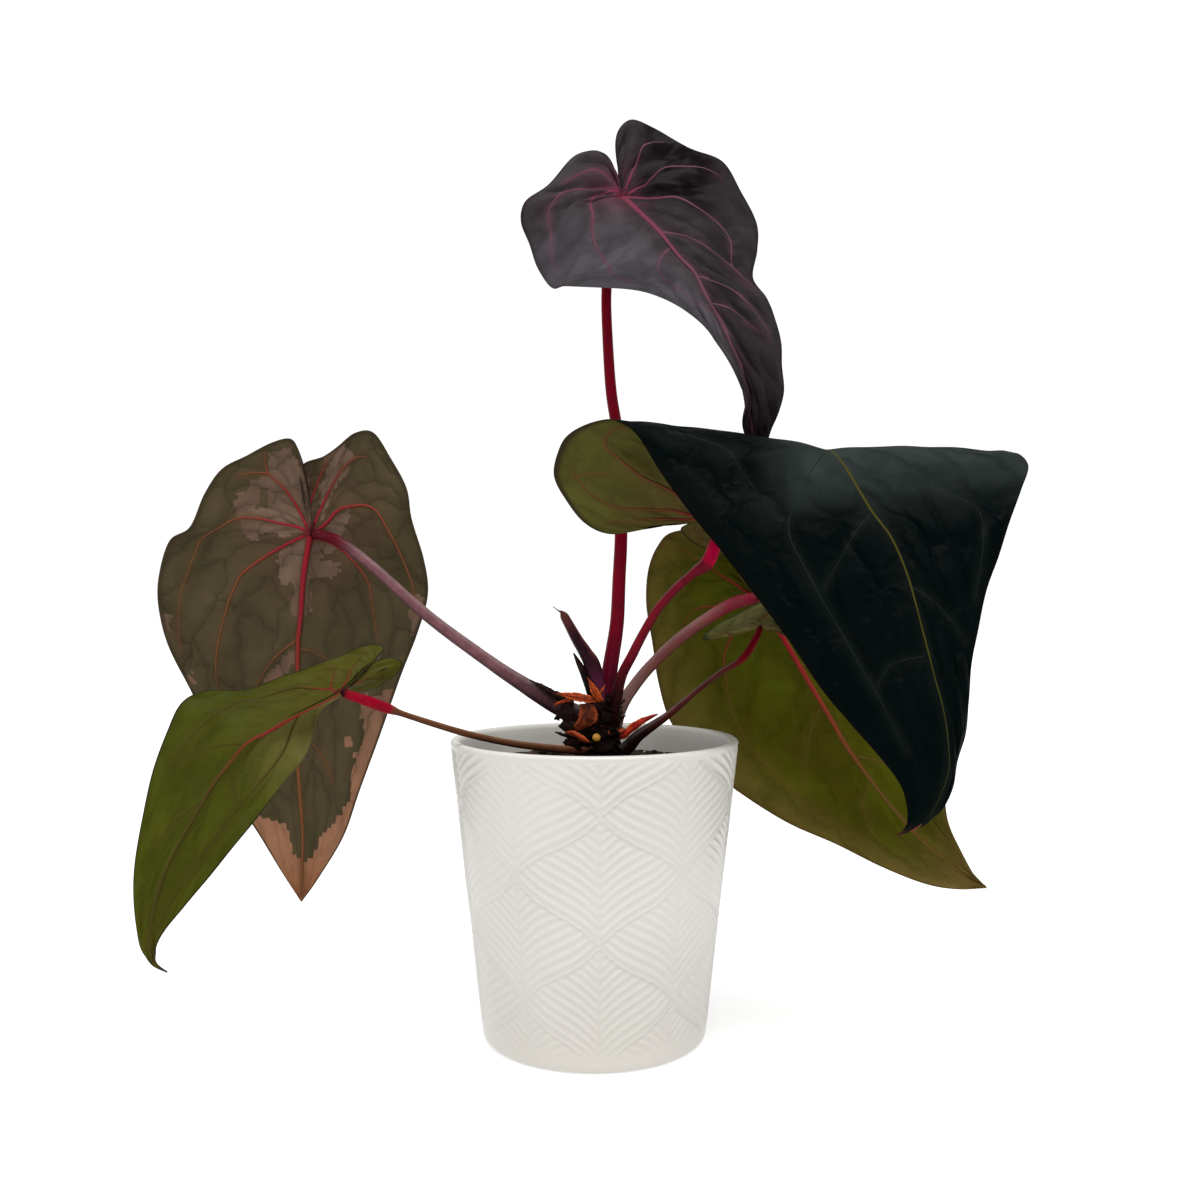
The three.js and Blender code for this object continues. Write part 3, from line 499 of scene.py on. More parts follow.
# The light stands above the front, and the camera in front looks a little down, in degrees.
LIGHT_PLACE = (-0.05, -0.55, 1.5)
LIGHT_TARGET = (-0.1, 0, 0.15)
CAMERA_PLACE = (0.0027, -0.6, 0.2176)
CAMERA_DROP = 0.51
CAMERA_LENS = 36.78

# Finishes of each blade: its upper side and its underside, with colours in sRGB. What a finish leaves
# out is taken from BLADE_DEFAULTS.
#   face, mottle: the main colour, and the one that it drifts to
#   net, net_share: the small veins' colour, and how much of it shows
#   root, root_share, root_end: the colour round the petiole's top, its strength, and how far it reaches
#   hub: the colour right at the petiole's top, that of root where it is left out
#   tip, tip_start, rim: the colour toward the tip, where it begins, and the outer part's share of it
#   edge, edge_start: the margin's colour, and where it begins on the way there from the midrib
#   flush, flush_share: the colour beside the veins, and how much of it shows
#   shine, gloss, relief: the specular level, the roughness and the strength of the fine relief
#   cushions, columns: the number of small cells from end to end, and from the midrib to a margin
#   hollow_shade: how much painted shade darkens the hollows between the cushions
#   pleats: depth of the creases and of their painted shade, right of the midrib and left of it
BLADE_DEFAULTS = {
    "root_end": 0.42, "root_share": 0.75, "tip_start": 0.78, "net_share": 0.3, "rim": 0.0, "shine": 0.05,
    "gloss": 0.5, "relief": 0.5, "edge_start": 0.95, "cushions": 15.0, "columns": 3.4, "hollow_shade": 0.25,
    "flush_share": 0.45, "pleats": (0.5, 0.5),
}
BLADE_FINISHES = {
    "top_leaf": (
        {"face": (68, 62, 65), "mottle": (46, 40, 41), "net": (72, 60, 64), "root": (98, 38, 58),
         "hub": (108, 38, 60), "tip": (20, 10, 13), "edge": (36, 27, 30), "flush": (92, 62, 74),
         "gloss": 0.6, "shine": 0.03, "root_end": 0.17, "root_share": 0.5, "tip_start": 0.7,
         "relief": 0.3, "cushions": 20.0, "columns": 2.6, "hollow_shade": 0.22, "net_share": 0.12,
         "flush_share": 0.6, "pleats": (3.2, 0.8)},
        {"face": (92, 48, 58), "mottle": (68, 40, 44), "net": (96, 40, 52), "root": (110, 24, 40),
         "tip": (70, 40, 44), "edge": (60, 36, 42), "flush": (110, 30, 46), "gloss": 0.55, "shine": 0.1},
    ),
    "variegated_leaf": (
        {"face": (24, 28, 20), "mottle": (42, 36, 26), "net": (18, 20, 14), "root": (60, 30, 30),
         "tip": (78, 52, 40), "edge": (40, 30, 24), "flush": (48, 40, 28), "gloss": 0.42, "shine": 0.14},
        {"face": (66, 59, 38), "mottle": (79, 69, 48), "net": (44, 38, 22), "root": (82, 60, 46),
         "hub": (104, 6, 34), "tip": (144, 92, 56), "edge": (56, 46, 30), "flush": (84, 60, 40),
         "gloss": 0.6, "net_share": 0.5, "root_end": 0.3, "cushions": 13.0, "relief": 0.4},
    ),
    "small_front_leaf": (
        {"face": (20, 28, 24), "mottle": (30, 38, 32), "net": (18, 22, 20), "root": (50, 34, 28),
         "tip": (36, 30, 22), "edge": (26, 24, 26), "flush": (30, 34, 28), "gloss": 0.4, "shine": 0.14},
        {"face": (66, 70, 9), "mottle": (54, 57, 5), "net": (48, 48, 8), "root": (84, 74, 30),
         "hub": (84, 4, 22), "tip": (86, 74, 30), "edge": (26, 26, 20), "flush": (70, 62, 18),
         "edge_start": 0.975, "net_share": 0.15, "relief": 0.4, "cushions": 11.0, "columns": 2.0,
         "hollow_shade": 0.12, "root_share": 0.5},
    ),
    "folded_leaf": (
        {"face": (0, 6, 6), "mottle": (4, 10, 9), "net": (10, 16, 14), "root": (12, 14, 12),
         "tip": (66, 26, 22), "edge": (8, 8, 8), "flush": (16, 22, 18), "gloss": 0.46, "shine": 0.02,
         "tip_start": 0.965, "net_share": 0.12, "relief": 0.7, "flush_share": 0.7},
        {"face": (80, 80, 32), "mottle": (72, 69, 26), "net": (58, 50, 20), "root": (90, 70, 36),
         "tip": (72, 62, 34), "edge": (36, 18, 20), "flush": (88, 68, 34)},
    ),
    "drooping_leaf": (
        {"face": (12, 22, 16), "mottle": (20, 29, 18), "net": (18, 22, 16), "root": (30, 30, 18),
         "tip": (38, 32, 22), "edge": (22, 22, 16), "flush": (26, 30, 18), "gloss": 0.42, "shine": 0.12},
        {"face": (74, 79, 6), "mottle": (68, 63, 8), "net": (50, 48, 4), "root": (76, 80, 16),
         "hub": (112, 14, 34), "tip": (118, 96, 54), "edge": (88, 72, 34), "flush": (88, 76, 26),
         "shine": 0.02, "net_share": 0.2, "rim": 0.45, "relief": 0.8, "cushions": 11.0, "columns": 2.4},
    ),
    "hidden_leaf": (
        {"face": (108, 112, 62), "mottle": (92, 94, 44), "net": (70, 62, 28), "root": (120, 112, 70),
         "tip": (24, 40, 40), "edge": (18, 30, 30), "flush": (96, 70, 36), "root_end": 0.3,
         "edge_start": 0.84, "tip_start": 0.6, "shine": 0.02},
        {"face": (112, 112, 64), "mottle": (96, 94, 48), "net": (70, 60, 26), "root": (120, 104, 64),
         "tip": (28, 44, 44), "edge": (20, 32, 32), "flush": (96, 70, 36), "root_end": 0.3,
         "edge_start": 0.84, "tip_start": 0.6},
    ),
}
PINK = (115, 92, 78)
DEEP_PINK = (98, 77, 63)
PALE_PINK = (152, 108, 82)

# The raised veins of each leaf: their colours near the petiole and at their far ends, on the upper
# side and on the underside, how soon the midrib and the side veins change colour, and how broad the
# upper side's are.
VEIN_FINISHES = {
    "top_leaf": (((116, 44, 66), (98, 62, 76)), ((120, 16, 36), (104, 40, 44)), (1.1, 2.2), 1.7),
    "variegated_leaf": (((40, 32, 26), (44, 36, 28)), ((134, 8, 34), (112, 68, 38)), (0.85, 1.9), 0.9),
    "small_front_leaf": (((34, 38, 30), (34, 38, 30)), ((128, 14, 26), (64, 54, 14)), (1.0, 3.2), 0.9),
    "folded_leaf": (((66, 62, 14), (26, 34, 27)), ((128, 22, 34), (96, 54, 28)), (0.3, 2.4), 0.6),
    "drooping_leaf": (((28, 34, 18), (28, 34, 18)), ((146, 16, 34), (90, 66, 22)), (0.85, 1.9), 0.9),
    "hidden_leaf": (((104, 14, 24), (92, 54, 30)), ((104, 14, 24), (92, 54, 30)), (0.85, 1.2), 0.9),
}
UPPER_VEIN_HEIGHT = 0.08
MIDRIB_BREADTH = 1.4

# Colours along each petiole: at the stem, along its length and at the swollen part under the blade,
# and the shares of its length between which the first and the last change of colour happen. One has a
# specular level and a painted highlight colour of its own.
PETIOLE_FINISHES = {
    "top_leaf": ((84, 10, 40), (108, 0, 20), (66, 0, 12), (0.0, 0.2, 0.9, 0.97)),
    "variegated_leaf": ((46, 28, 36), (114, 76, 80), (80, 8, 22), (0.04, 0.36, 0.8, 0.9)),
    "small_front_leaf": (
        (84, 40, 34), (86, 54, 34), (132, 0, 28), (0.04, 0.14, 0.785, 0.815), 0.03, (150, 112, 84),
    ),
    "folded_leaf": ((26, 6, 8), (120, 16, 34), (182, 4, 56), (0.16, 0.42, 0.8, 0.83)),
    "drooping_leaf": ((140, 104, 96), (120, 62, 60), (118, 20, 42), (0.1, 0.45, 0.62, 0.9)),
    "hidden_leaf": ((18, 7, 6), (84, 32, 26), (104, 0, 14), (0.1, 0.4, 0.68, 0.8)),
}
SPEAR_FINISHES = {
    "tall_spear_sheath": ((92, 28, 60), (30, 14, 18), (74, 38, 30), (0.0, 0.45, 0.66, 0.84)),
    "short_spear_sheath": ((16, 7, 6), (20, 9, 8), (36, 20, 16), (0.0, 0.5, 0.62, 0.8)),
}
# The next two colours are painted highlights on the upper sides of petioles and spears.
PAINTED_TOP_LIGHT = (150, 136, 136)
SPEAR_TOP_LIGHT = (112, 50, 38)
DARK_JOINT = (30, 6, 14)

# Papery scales: the main colour, the one of their streaks and lines, and the margins'.
PAPERY_FINISHES = {
    "sheath_orange": ((166, 62, 16), (96, 32, 16), (196, 96, 34)),
    "sheath_fiery": ((176, 44, 12), (120, 14, 22), (206, 140, 44)),
    "sheath_umber": ((124, 48, 20), (52, 20, 12), (150, 66, 26)),
}

# Bark, soil and other dry surfaces: two colours, the specks' colour, the patches' scale, the specular
# level, the roughness and the strength of the relief.
DRY_FINISHES = {
    "soil": ((30, 23, 17), (52, 40, 29), (86, 70, 54), 160.0, 0.15, 0.85, 0.9),
    "twig_bark": ((58, 40, 28), (36, 24, 18), (90, 70, 54), 500.0, 0.2, 0.7, 0.6),
    "soil_crumb": ((40, 30, 22), (24, 18, 14), (70, 56, 42), 420.0, 0.2, 0.7, 0.6),
    "bark_chip": ((74, 50, 34), (44, 30, 22), (104, 80, 60), 380.0, 0.2, 0.7, 0.6),
    "white_grain": ((206, 202, 192), (176, 170, 158), (150, 140, 124), 600.0, 0.2, 0.7, 0.6),
    "stem_bark": ((22, 11, 8), (9, 4, 4), (74, 38, 22), 260.0, 0.06, 0.65, 0.9),
    "sheath_dark": ((30, 15, 11), (12, 5, 4), (84, 40, 24), 300.0, 0.06, 0.6, 0.6),
    "root_bud": ((206, 150, 44), (170, 112, 28), (232, 204, 130), 700.0, 0.4, 0.35, 0.3),
    "fibre_dark": ((24, 11, 7), (9, 4, 3), (70, 34, 20), 500.0, 0.05, 0.65, 0.6),
    "fibre_brown": ((64, 32, 18), (30, 14, 9), (112, 60, 30), 500.0, 0.12, 0.6, 0.6),
    "fibre_orange": ((142, 58, 18), (84, 32, 14), (178, 92, 34), 500.0, 0.12, 0.6, 0.6),
}

# The record's material slot of each leaf's blade and of its petiole.
LEAF_SLOTS = {
    "top_leaf": ("leaf_purple", "petiole_red"),
    "variegated_leaf": ("leaf_variegated", "petiole_plum"),
    "small_front_leaf": ("leaf_green", "petiole_brown"),
    "folded_leaf": ("leaf_black", "petiole_red"),
    "drooping_leaf": ("leaf_green", "petiole_plum"),
    "hidden_leaf": ("leaf_green", "petiole_brown"),
}

FLOOR_GREY = (192, 192, 192)
FLOOR_SHADE = (189, 189, 189)


def srgb(colour, share=1.0):
    """A linear colour for an sRGB one given in 0 to 255, of which a share is taken."""
    level = np.minimum(np.array(colour, float) * share, 255) / 255
    linear = np.where(level <= 0.04045, level / 12.92, ((level + 0.055) / 1.055) ** 2.4)
    return (*linear, 1.0)


# Making pieces


def deselect_all():
    """Leaves nothing selected, so that an operator acts only on what is made next."""
    if bpy.context.object and bpy.context.object.mode != "OBJECT":
        bpy.ops.object.mode_set(mode="OBJECT")
    bpy.ops.object.select_all(action="DESELECT")


def pick(piece):
    """Selects one piece and makes it the active one."""
    deselect_all()
    piece.select_set(True)
    bpy.context.view_layer.objects.active = piece


def edit_all(piece, operator, **options):
    """Runs one of edit mode's operators on a whole piece."""
    pick(piece)
    bpy.ops.object.mode_set(mode="EDIT")
    bpy.ops.mesh.select_all(action="SELECT")
    operator(**options)
    bpy.ops.object.mode_set(mode="OBJECT")


def read_points(piece, layer):
    """The three numbers that each of a mesh's points has in a layer, as an array."""
    values = np.empty(len(piece.data.vertices) * 3, np.float32)
    piece.data.vertices.foreach_get(layer, values)
    return values.reshape(-1, 3).astype(float)


def points_of(piece):
    """The places of a mesh's points, as an array."""
    return read_points(piece, "co")


def normals_of(piece):
    """The directions that a mesh's points face, as an array."""
    return read_points(piece, "normal")


def set_points(piece, places):
    """Moves a mesh's points."""
    piece.data.vertices.foreach_set("co", places.astype(np.float32).ravel())
    piece.data.update()


def add_mask(piece, name, values):
    """Gives a mesh's points a value that its material reads."""
    mask = piece.data.attributes.new(name, "FLOAT", "POINT")
    mask.data.foreach_set("value", values.astype(np.float32))


def grid_piece(name, columns, rows, place, merge=0.00002):
    """A grid bent into shape. place turns the share across and the share along into points.

    Points closer together than merge become one, which closes seams and poles.
    """
    deselect_all()
    bpy.ops.mesh.primitive_grid_add(x_subdivisions=columns, y_subdivisions=rows, size=2)
    piece = bpy.context.object
    piece.name = name
    piece.data.name = name
    flat = points_of(piece)
    set_points(piece, place((flat[:, 0] + 1) / 2, (flat[:, 1] + 1) / 2))
    edit_all(piece, bpy.ops.mesh.remove_doubles, threshold=merge)
    bpy.ops.object.shade_smooth()
    return piece


def face_outward(piece):
    """Turns a closed piece's faces outward."""
    edit_all(piece, bpy.ops.mesh.normals_make_consistent, inside=False)


def thicken(piece, thickness, under_finish=0):
    """Gives a sheet its thickness, and its underside and margins the finish of that number."""
    pick(piece)
    solidify = piece.modifiers.new("Thickness", "SOLIDIFY")
    solidify.thickness = thickness
    solidify.offset = 0.0
    solidify.material_offset = under_finish
    solidify.material_offset_rim = under_finish
    bpy.ops.object.modifier_apply(modifier=solidify.name)


def join(name, pieces):
    """Joins pieces into one."""
    pick(pieces[0])
    for piece in pieces[1:]:
        piece.select_set(True)
    bpy.ops.object.join()
    joined = bpy.context.object
    joined.name = name
    joined.data.name = name
    return joined


def put_on(piece, *finishes):
    """Gives a piece its materials."""
    piece.data.materials.clear()
    for finish in finishes:
        piece.data.materials.append(finish)


def finish_piece(piece, slot, *nodes):
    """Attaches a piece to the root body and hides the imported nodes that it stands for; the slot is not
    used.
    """
    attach(piece, "root")
    if nodes:
        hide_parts(*nodes)


# Shapes


def smooth(points, u):
    """A smooth place between the entries of a list of points, at places u counted in entries."""
    last = len(points) - 1
    i = np.clip(np.floor(u).astype(int), 0, last - 1)
    f = (u - i)[..., None]
    p1 = points[i]
    p2 = points[i + 1]
    p0 = points[np.maximum(i - 1, 0)]
    p3 = points[np.minimum(i + 2, last)]
    squared = 2 * p0 - 5 * p1 + 4 * p2 - p3
    cubed = 3 * p1 - p0 - 3 * p2 + p3
    return 0.5 * (2 * p1 + (p2 - p0) * f + squared * f**2 + cubed * f**3)


def waviness(points, length, seed):
    """A gentle unevenness from -1 to 1 over points, with bumps of about that length."""
    total = np.zeros(len(points))
    source = np.random.default_rng(seed)
    for _ in range(6):
        direction = source.normal(size=3)
        direction *= source.uniform(0.6, 1.5) * 2 * math.pi / (length * np.linalg.norm(direction))
        total += np.sin(points @ direction + source.uniform(0, 6))
    return total / 3.5


def unit(vectors):
    """Vectors made 1 long."""
    return vectors / np.maximum(np.linalg.norm(vectors, axis=-1, keepdims=True), 1e-12)


def rounded(y, steepness):
    """How wide a form is at shares y along it, when both its ends are rounded off."""
    return np.sqrt(np.clip(np.minimum(y, 1 - y) * steepness, 0, 1))


def leaf_surface(leaf, u, t):
    """Places on a leaf's middle layer and the way its upper side faces, at row u and across t."""
    rows = [row if len(row) == 3 else (row[0], leaf["hub"], row[1]) for row in leaf["rows"]]
    rows = np.array(rows, float)
    tip = np.array(leaf["tip"], float)[None]
    left, middle, right = (np.vstack([rows[:, k], tip]) for k in range(3))
    count = len(rows)
    last_lobe_row = int(np.sum(np.all(rows[:, 1] == rows[0, 1], axis=1))) - 1
    side = np.where(t < 0, -1.0, 1.0)
    share = np.abs(t)

    def margin(at):
        return np.where((t < 0)[:, None], smooth(left, at), smooth(right, at))

    def midrib(at):
        return np.where((at <= last_lobe_row)[:, None], middle[0], smooth(middle, at))

    # The way up is worked out a few rows in, because the first rows all start at one point.
    steady = np.maximum(u, min(3, last_lobe_row))
    ahead = np.minimum(steady + 0.5, count)
    behind = np.maximum(steady - 0.5, 0)
    along = smooth(middle, ahead) + margin(ahead) - margin(behind) - smooth(middle, behind)
    up = unit(np.cross(margin(steady) - midrib(steady), along) * -side[:, None])
    fade = np.minimum(1, np.minimum(u / 3, (count - u) / 4))
    lift = leaf["arch"] * 4 * share * (1 - share)
    lift = lift + leaf["wave"] * share**2 * np.sin(2 * math.pi * leaf["waves"] * u / count + side)
    centre = midrib(u)
    places = centre + (margin(u) - centre) * share[:, None] + up * (lift * fade)[:, None]
    if "pucker" in leaf:
        # The puckers are long and narrow, and lean from the midrib to the margin as the side veins do.
        half_width = 22
        row_length = 10
        leaning = u * row_length - share * half_width
        flow = np.stack([side * share * half_width, leaning, np.zeros_like(u)], axis=1)
        bumps = 0.35 * waviness(places, length=30, seed=41)
        bumps = bumps + leaf["pucker"] * waviness(flow, length=12, seed=42)
        places = places + up * (bumps * (1 - share**6) * (1 - (1 - share) ** 3))[:, None]
    return places * MM, up


def tube_places(stations, x, y, ribs):
    """Places on a round stalk along (x, y, z, radius) stations in mm: x goes round it and y along it."""
    stations = np.array(stations, float)
    fine_steps = 400
    line = smooth(stations, np.linspace(0, len(stations) - 1, fine_steps))
    steps = np.linalg.norm(np.diff(line[:, :3], axis=0), axis=1)
    length = np.concatenate([[0], np.cumsum(steps)])
    length /= length[-1]
    tangents = unit(np.gradient(line[:, :3], axis=0))
    no_stalks_way = (0.3, 1.0, 0.2)
    first = np.cross(tangents[0], no_stalks_way)
    sides = [first / np.linalg.norm(first)]
    for tangent in tangents[1:]:
        side = sides[-1] - tangent * np.dot(sides[-1], tangent)
        sides.append(side / np.linalg.norm(side))
    sides = np.array(sides)
    others = np.cross(tangents, sides)

    def along(values):
        return np.stack([np.interp(y, length, values[:, k]) for k in range(values.shape[1])], axis=1)

    angle = 2 * math.pi * x
    radius = np.interp(y, length, line[:, 3]) * rounded(y, steepness=60)
    radius = radius * (1 + ribs * np.cos(STALK_RIBS * angle))
    ring = along(sides) * np.cos(angle)[:, None] + along(others) * np.sin(angle)[:, None]
    return (along(line[:, :3]) + ring * radius[:, None]) * MM


def stalk(name, stations, sides, rings, ribs=0.0):
    """A closed round stalk. Its ribs stand out by that share of its radius."""
    piece = grid_piece(name, sides, rings, lambda x, y: tube_places(stations, x, y, ribs))
    face_outward(piece)
    # How far each point faces up, from which a stalk's finish paints a highlight on top and shade
    # underneath.
    add_mask(piece, "upward", 0.5 + 0.5 * normals_of(piece)[:, 2])
    return piece


# Finishes


def feed(tree, socket, value):
    """Sets a socket to a value, or links it to another socket."""
    if isinstance(value, bpy.types.NodeSocket):
        tree.links.new(value, socket)
    else:
        socket.default_value = value


def mix(tree, factor, first, second):
    """A blend of two colours."""
    node = tree.nodes.new("ShaderNodeMix")
    node.data_type = "RGBA"
    feed(tree, node.inputs[0], factor)
    feed(tree, node.inputs[6], first)
    feed(tree, node.inputs[7], second)
    return node.outputs[2]


def layered(tree, colour, *layers):
    """A colour with others laid over it in turn. A layer is a share, an sRGB colour and its level."""
    for share, over, *strength in layers:
        colour = mix(tree, share, colour, srgb(over, *strength))
    return colour


def sums(tree, operation, first, second=0.0, third=0.0):
    """One step of arithmetic."""
    node = tree.nodes.new("ShaderNodeMath")
    node.operation = operation
    for socket, given in zip(node.inputs, (first, second, third)):
        feed(tree, socket, given)
    return node.outputs[0]


def times(tree, first, second, added=None):
    """One value times another, with a third one added where it is given."""
    if added is None:
        return sums(tree, "MULTIPLY", first, second)
    return sums(tree, "MULTIPLY_ADD", first, second, added)


def between(tree, value, low, high, start=0.0, end=1.0):
    """A value brought from low..high to start..end, softly."""
    node = tree.nodes.new("ShaderNodeMapRange")
    node.interpolation_type = "SMOOTHSTEP"
    for socket, given in zip(node.inputs, (value, low, high, start, end)):
        feed(tree, socket, given)
    return node.outputs[0]


def noise(tree, place, scale, detail=4.0, roughness=0.55, output="Fac"):
    """A cloudy pattern."""
    node = tree.nodes.new("ShaderNodeTexNoise")
    feed(tree, node.inputs["Vector"], place)
    feed(tree, node.inputs["Scale"], scale)
    node.inputs["Detail"].default_value = detail
    node.inputs["Roughness"].default_value = roughness
    return node.outputs[output]


def stretched(tree, place, scales):
    """A place with each of its numbers scaled."""
    node = tree.nodes.new("ShaderNodeMapping")
    feed(tree, node.inputs["Vector"], place)
    node.inputs["Scale"].default_value = scales
    return node.outputs[0]


def attribute(tree, name):
    """A value kept on the mesh's points."""
    node = tree.nodes.new("ShaderNodeAttribute")
    node.attribute_name = name
    return node.outputs["Fac"]


def object_place(tree):
    """The place on the object, in metres."""
    return tree.nodes.new("ShaderNodeTexCoord").outputs["Object"]


def axes_of(tree, place):
    """The three numbers of a place."""
    split = tree.nodes.new("ShaderNodeSeparateXYZ")
    tree.links.new(place, split.inputs[0])
    return tuple(split.outputs)


def own_map(tree):
    """The shares across and along from the piece's own UV map, and the map itself."""
    coordinates = tree.nodes.new("ShaderNodeTexCoord").outputs["UV"]
    across, along, _ = axes_of(tree, coordinates)
    return across, along, coordinates


def from_middle(tree, across):
    """How far a share across is from the middle: 0 there and 1 at both margins."""
    return sums(tree, "ABSOLUTE", times(tree, across, 2.0, -1.0))


def new_finish(name, shine):
    """A material with an empty tree but for its shader."""
    finish = bpy.data.materials.new(name)
    finish.use_nodes = True
    tree = finish.node_tree
    shader = tree.nodes["Principled BSDF"]
    shader.inputs["Specular IOR Level"].default_value = shine
    return finish, tree, shader


def dress(tree, shader, colour, roughness, height, strength, depth):
    """Gives a shader its colour, its roughness and a fine relief of a depth in metres."""
    feed(tree, shader.inputs["Base Color"], colour)
    feed(tree, shader.inputs["Roughness"], roughness)
    node = tree.nodes.new("ShaderNodeBump")
    node.inputs["Strength"].default_value = strength
    node.inputs["Distance"].default_value = depth
    feed(tree, node.inputs["Height"], height)
    tree.links.new(node.outputs["Normal"], shader.inputs["Normal"])


def new_group(name, inputs, outputs):
    """An empty shared effect. Inputs without a default are places, and all else are numbers."""
    group = bpy.data.node_groups.new(name, "ShaderNodeTree")
    for label, default in inputs.items():
        kind = "NodeSocketVector" if default is None else "NodeSocketFloat"
        socket = group.interface.new_socket(label, in_out="INPUT", socket_type=kind)
        if default is not None:
            socket.default_value = default
    for label in outputs:
        group.interface.new_socket(label, in_out="OUTPUT", socket_type="NodeSocketFloat")
    return group, group.nodes.new("NodeGroupInput"), group.nodes.new("NodeGroupOutput")


def feed_named(tree, node, values):
    """Sets or links a node's inputs by their names, which the values have in small letters."""
    for name, value in values.items():
        feed(tree, node.inputs[name.capitalize()], value)


def place_group(tree, group, **values):
    """Puts a shared effect into a material, with its own values."""
    node = tree.nodes.new("ShaderNodeGroup")
    node.node_tree = group
    feed_named(tree, node, values)
    return node


def leaf_skin_group():
    """A blade's living surface: slow mottling, cushions between small veins, creases and a fine grain.

    The small veins are a net of cells. So many "Columns" of them stand between midrib and margin, and so
    many "Cushions" from end to end. They lean toward the tip and fade near it. "Pleats" deepens the
    creases.
    """
    name = "Leaf skin"
    if name in bpy.data.node_groups:
        return bpy.data.node_groups[name]
    group, given, result = new_group(
        name,
        {"Place": None, "Map": None, "Cushions": 15.0, "Columns": 3.4, "Pleats": 0.5},
        ("Mottle", "Creases", "Net", "Hollows", "Grain", "Height"),
    )
    place = given.outputs["Place"]
    mottle = between(group, noise(group, place, scale=28.0, detail=5.0), 0.35, 0.65)
    across, along, _ = axes_of(group, given.outputs["Map"])
    from_midrib = from_middle(group, across)
    left_half = times(group, sums(group, "GREATER_THAN", across, 0.5), 9.0)
    rows = times(group, along, given.outputs["Cushions"])
    spread = group.nodes.new("ShaderNodeCombineXYZ")
    feed(group, spread.inputs[0], times(group, from_midrib, given.outputs["Columns"], left_half))
    feed(group, spread.inputs[1], times(group, from_midrib, -2.4, rows))
    bent = group.nodes.new("ShaderNodeVectorMath")
    bent.operation = "MULTIPLY_ADD"
    wander = noise(group, place, scale=90.0, detail=2.0, roughness=0.5, output="Color")
    feed(group, bent.inputs[0], wander)
    bent.inputs[1].default_value = (0.7, 0.7, 0.0)
    feed(group, bent.inputs[2], spread.outputs[0])
    cells = group.nodes.new("ShaderNodeTexVoronoi")
    cells.voronoi_dimensions = "2D"
    cells.feature = "DISTANCE_TO_EDGE"
    feed(group, cells.inputs["Vector"], bent.outputs[0])
    cells.inputs["Scale"].default_value = 1.0
    from_edge = cells.outputs["Distance"]
    rising = between(group, from_edge, 0.0, 0.36)
    cushion = times(group, rising, sums(group, "SUBTRACT", 2.0, rising))
    calm = between(group, along, 0.78, 0.96, 1.0, 0.1)
    hollows = times(group, sums(group, "SUBTRACT", 1.0, cushion), calm)
    long_places = stretched(group, given.outputs["Map"], (5.0, 24.0, 1.0))
    creases = noise(group, long_places, scale=1.0, detail=2.5, roughness=0.6)
    grain = noise(group, place, scale=1800.0, detail=3.0, roughness=0.7)
    rough = times(group, grain, 0.1, times(group, creases, given.outputs["Pleats"]))
    feed_named(group, result, {
        "mottle": mottle,
        "creases": creases,
        "net": times(group, between(group, from_edge, 0.0, 0.035, 1.0, 0.0), calm),
        "hollows": hollows,
        "grain": grain,
        "height": sums(group, "SUBTRACT", rough, hollows),
    })
    return group


def dry_skin_group():
    """Dry or weathered skin: streaks, specks a quarter of their size and a rough height."""
    name = "Dry skin"
    if name in bpy.data.node_groups:
        return bpy.data.node_groups[name]
    inputs = {"Place": None, "Scale": 300.0}
    group, given, result = new_group(name, inputs, ("Streaks", "Specks", "Height"))
    place = given.outputs["Place"]
    scale = given.outputs["Scale"]
    cloud = noise(group, place, scale, detail=6.0, roughness=0.65)
    fine_cloud = noise(group, place, times(group, scale, 4.0), detail=2.0)
    specks = between(group, fine_cloud, 0.58, 0.7)
    streaks = between(group, cloud, 0.36, 0.66)
    height = times(group, specks, 0.4, cloud)
    feed_named(group, result, {"streaks": streaks, "specks": specks, "height": height})
    return group


def painted_shade_half(tree, where):
    """Painted shade on the top leaf: right of its midrib, and nearly black on the right lobe."""
    x, _, z = axes_of(tree, where.place)
    cloud = noise(tree, where.place, scale=60.0, detail=3.0)
    high = times(tree, cloud, 0.012, times(tree, x, 0.3, z))
    inner = between(tree, x, 0.012, 0.03)
    outer = between(tree, x, 0.05, 0.068, 1.0, 0.4)
    lobe = times(tree, times(tree, inner, outer), between(tree, high, 0.408, 0.428))
    return sums(tree, "MAXIMUM", lobe, between(tree, where.across, 0.42, 0.54, 0.35, 0.0))


def painted_sheen_skirt(tree, where):
    """A painted sheen on the top leaf: left of its midrib, from below the lobe to above the tip."""
    below_lobe = between(tree, where.along, 0.34, 0.56)
    above_tip = between(tree, where.along, 0.72, 0.9, 1.0, 0.0)
    left = between(tree, where.across, 0.52, 0.66, 0.0, 0.6)
    return times(tree, left, times(tree, below_lobe, above_tip))


def painted_sheen_fold(tree, where):
    """A painted highlight on the folded leaf: over the top of its fold, but not at its left end."""
    x, _, z = axes_of(tree, where.place)
    cloud = noise(tree, where.place, scale=24.0, detail=2.0)
    high = times(tree, cloud, 0.03, times(tree, x, -0.08, z))
    fold_sheen = between(tree, high, 0.246, 0.282, 0.0, 0.9)
    return times(tree, fold_sheen, between(tree, x, 0.068, 0.1))


def painted_light_lap(tree, where):
    """Painted light on the small front leaf: beside its midrib near the petiole, on its lower half."""
    near = between(tree, attribute(tree, "reach"), 0.1, 0.46, 0.6, 0.0)
    lower = times(tree, between(tree, where.across, 0.5, 0.6), between(tree, where.along, 0.34, 0.44))
    return times(tree, near, lower)


def blush(tree, drift, along, tip):
    """The variegated leaf's pink, which turns paler and then brown toward its tip."""
    pink = mix(tree, drift, srgb(PINK), srgb(DEEP_PINK))
    return layered(
        tree, pink,
        (between(tree, along, 0.66, 0.88), PALE_PINK),
        (between(tree, along, 0.9, 1.0), tip),
    )


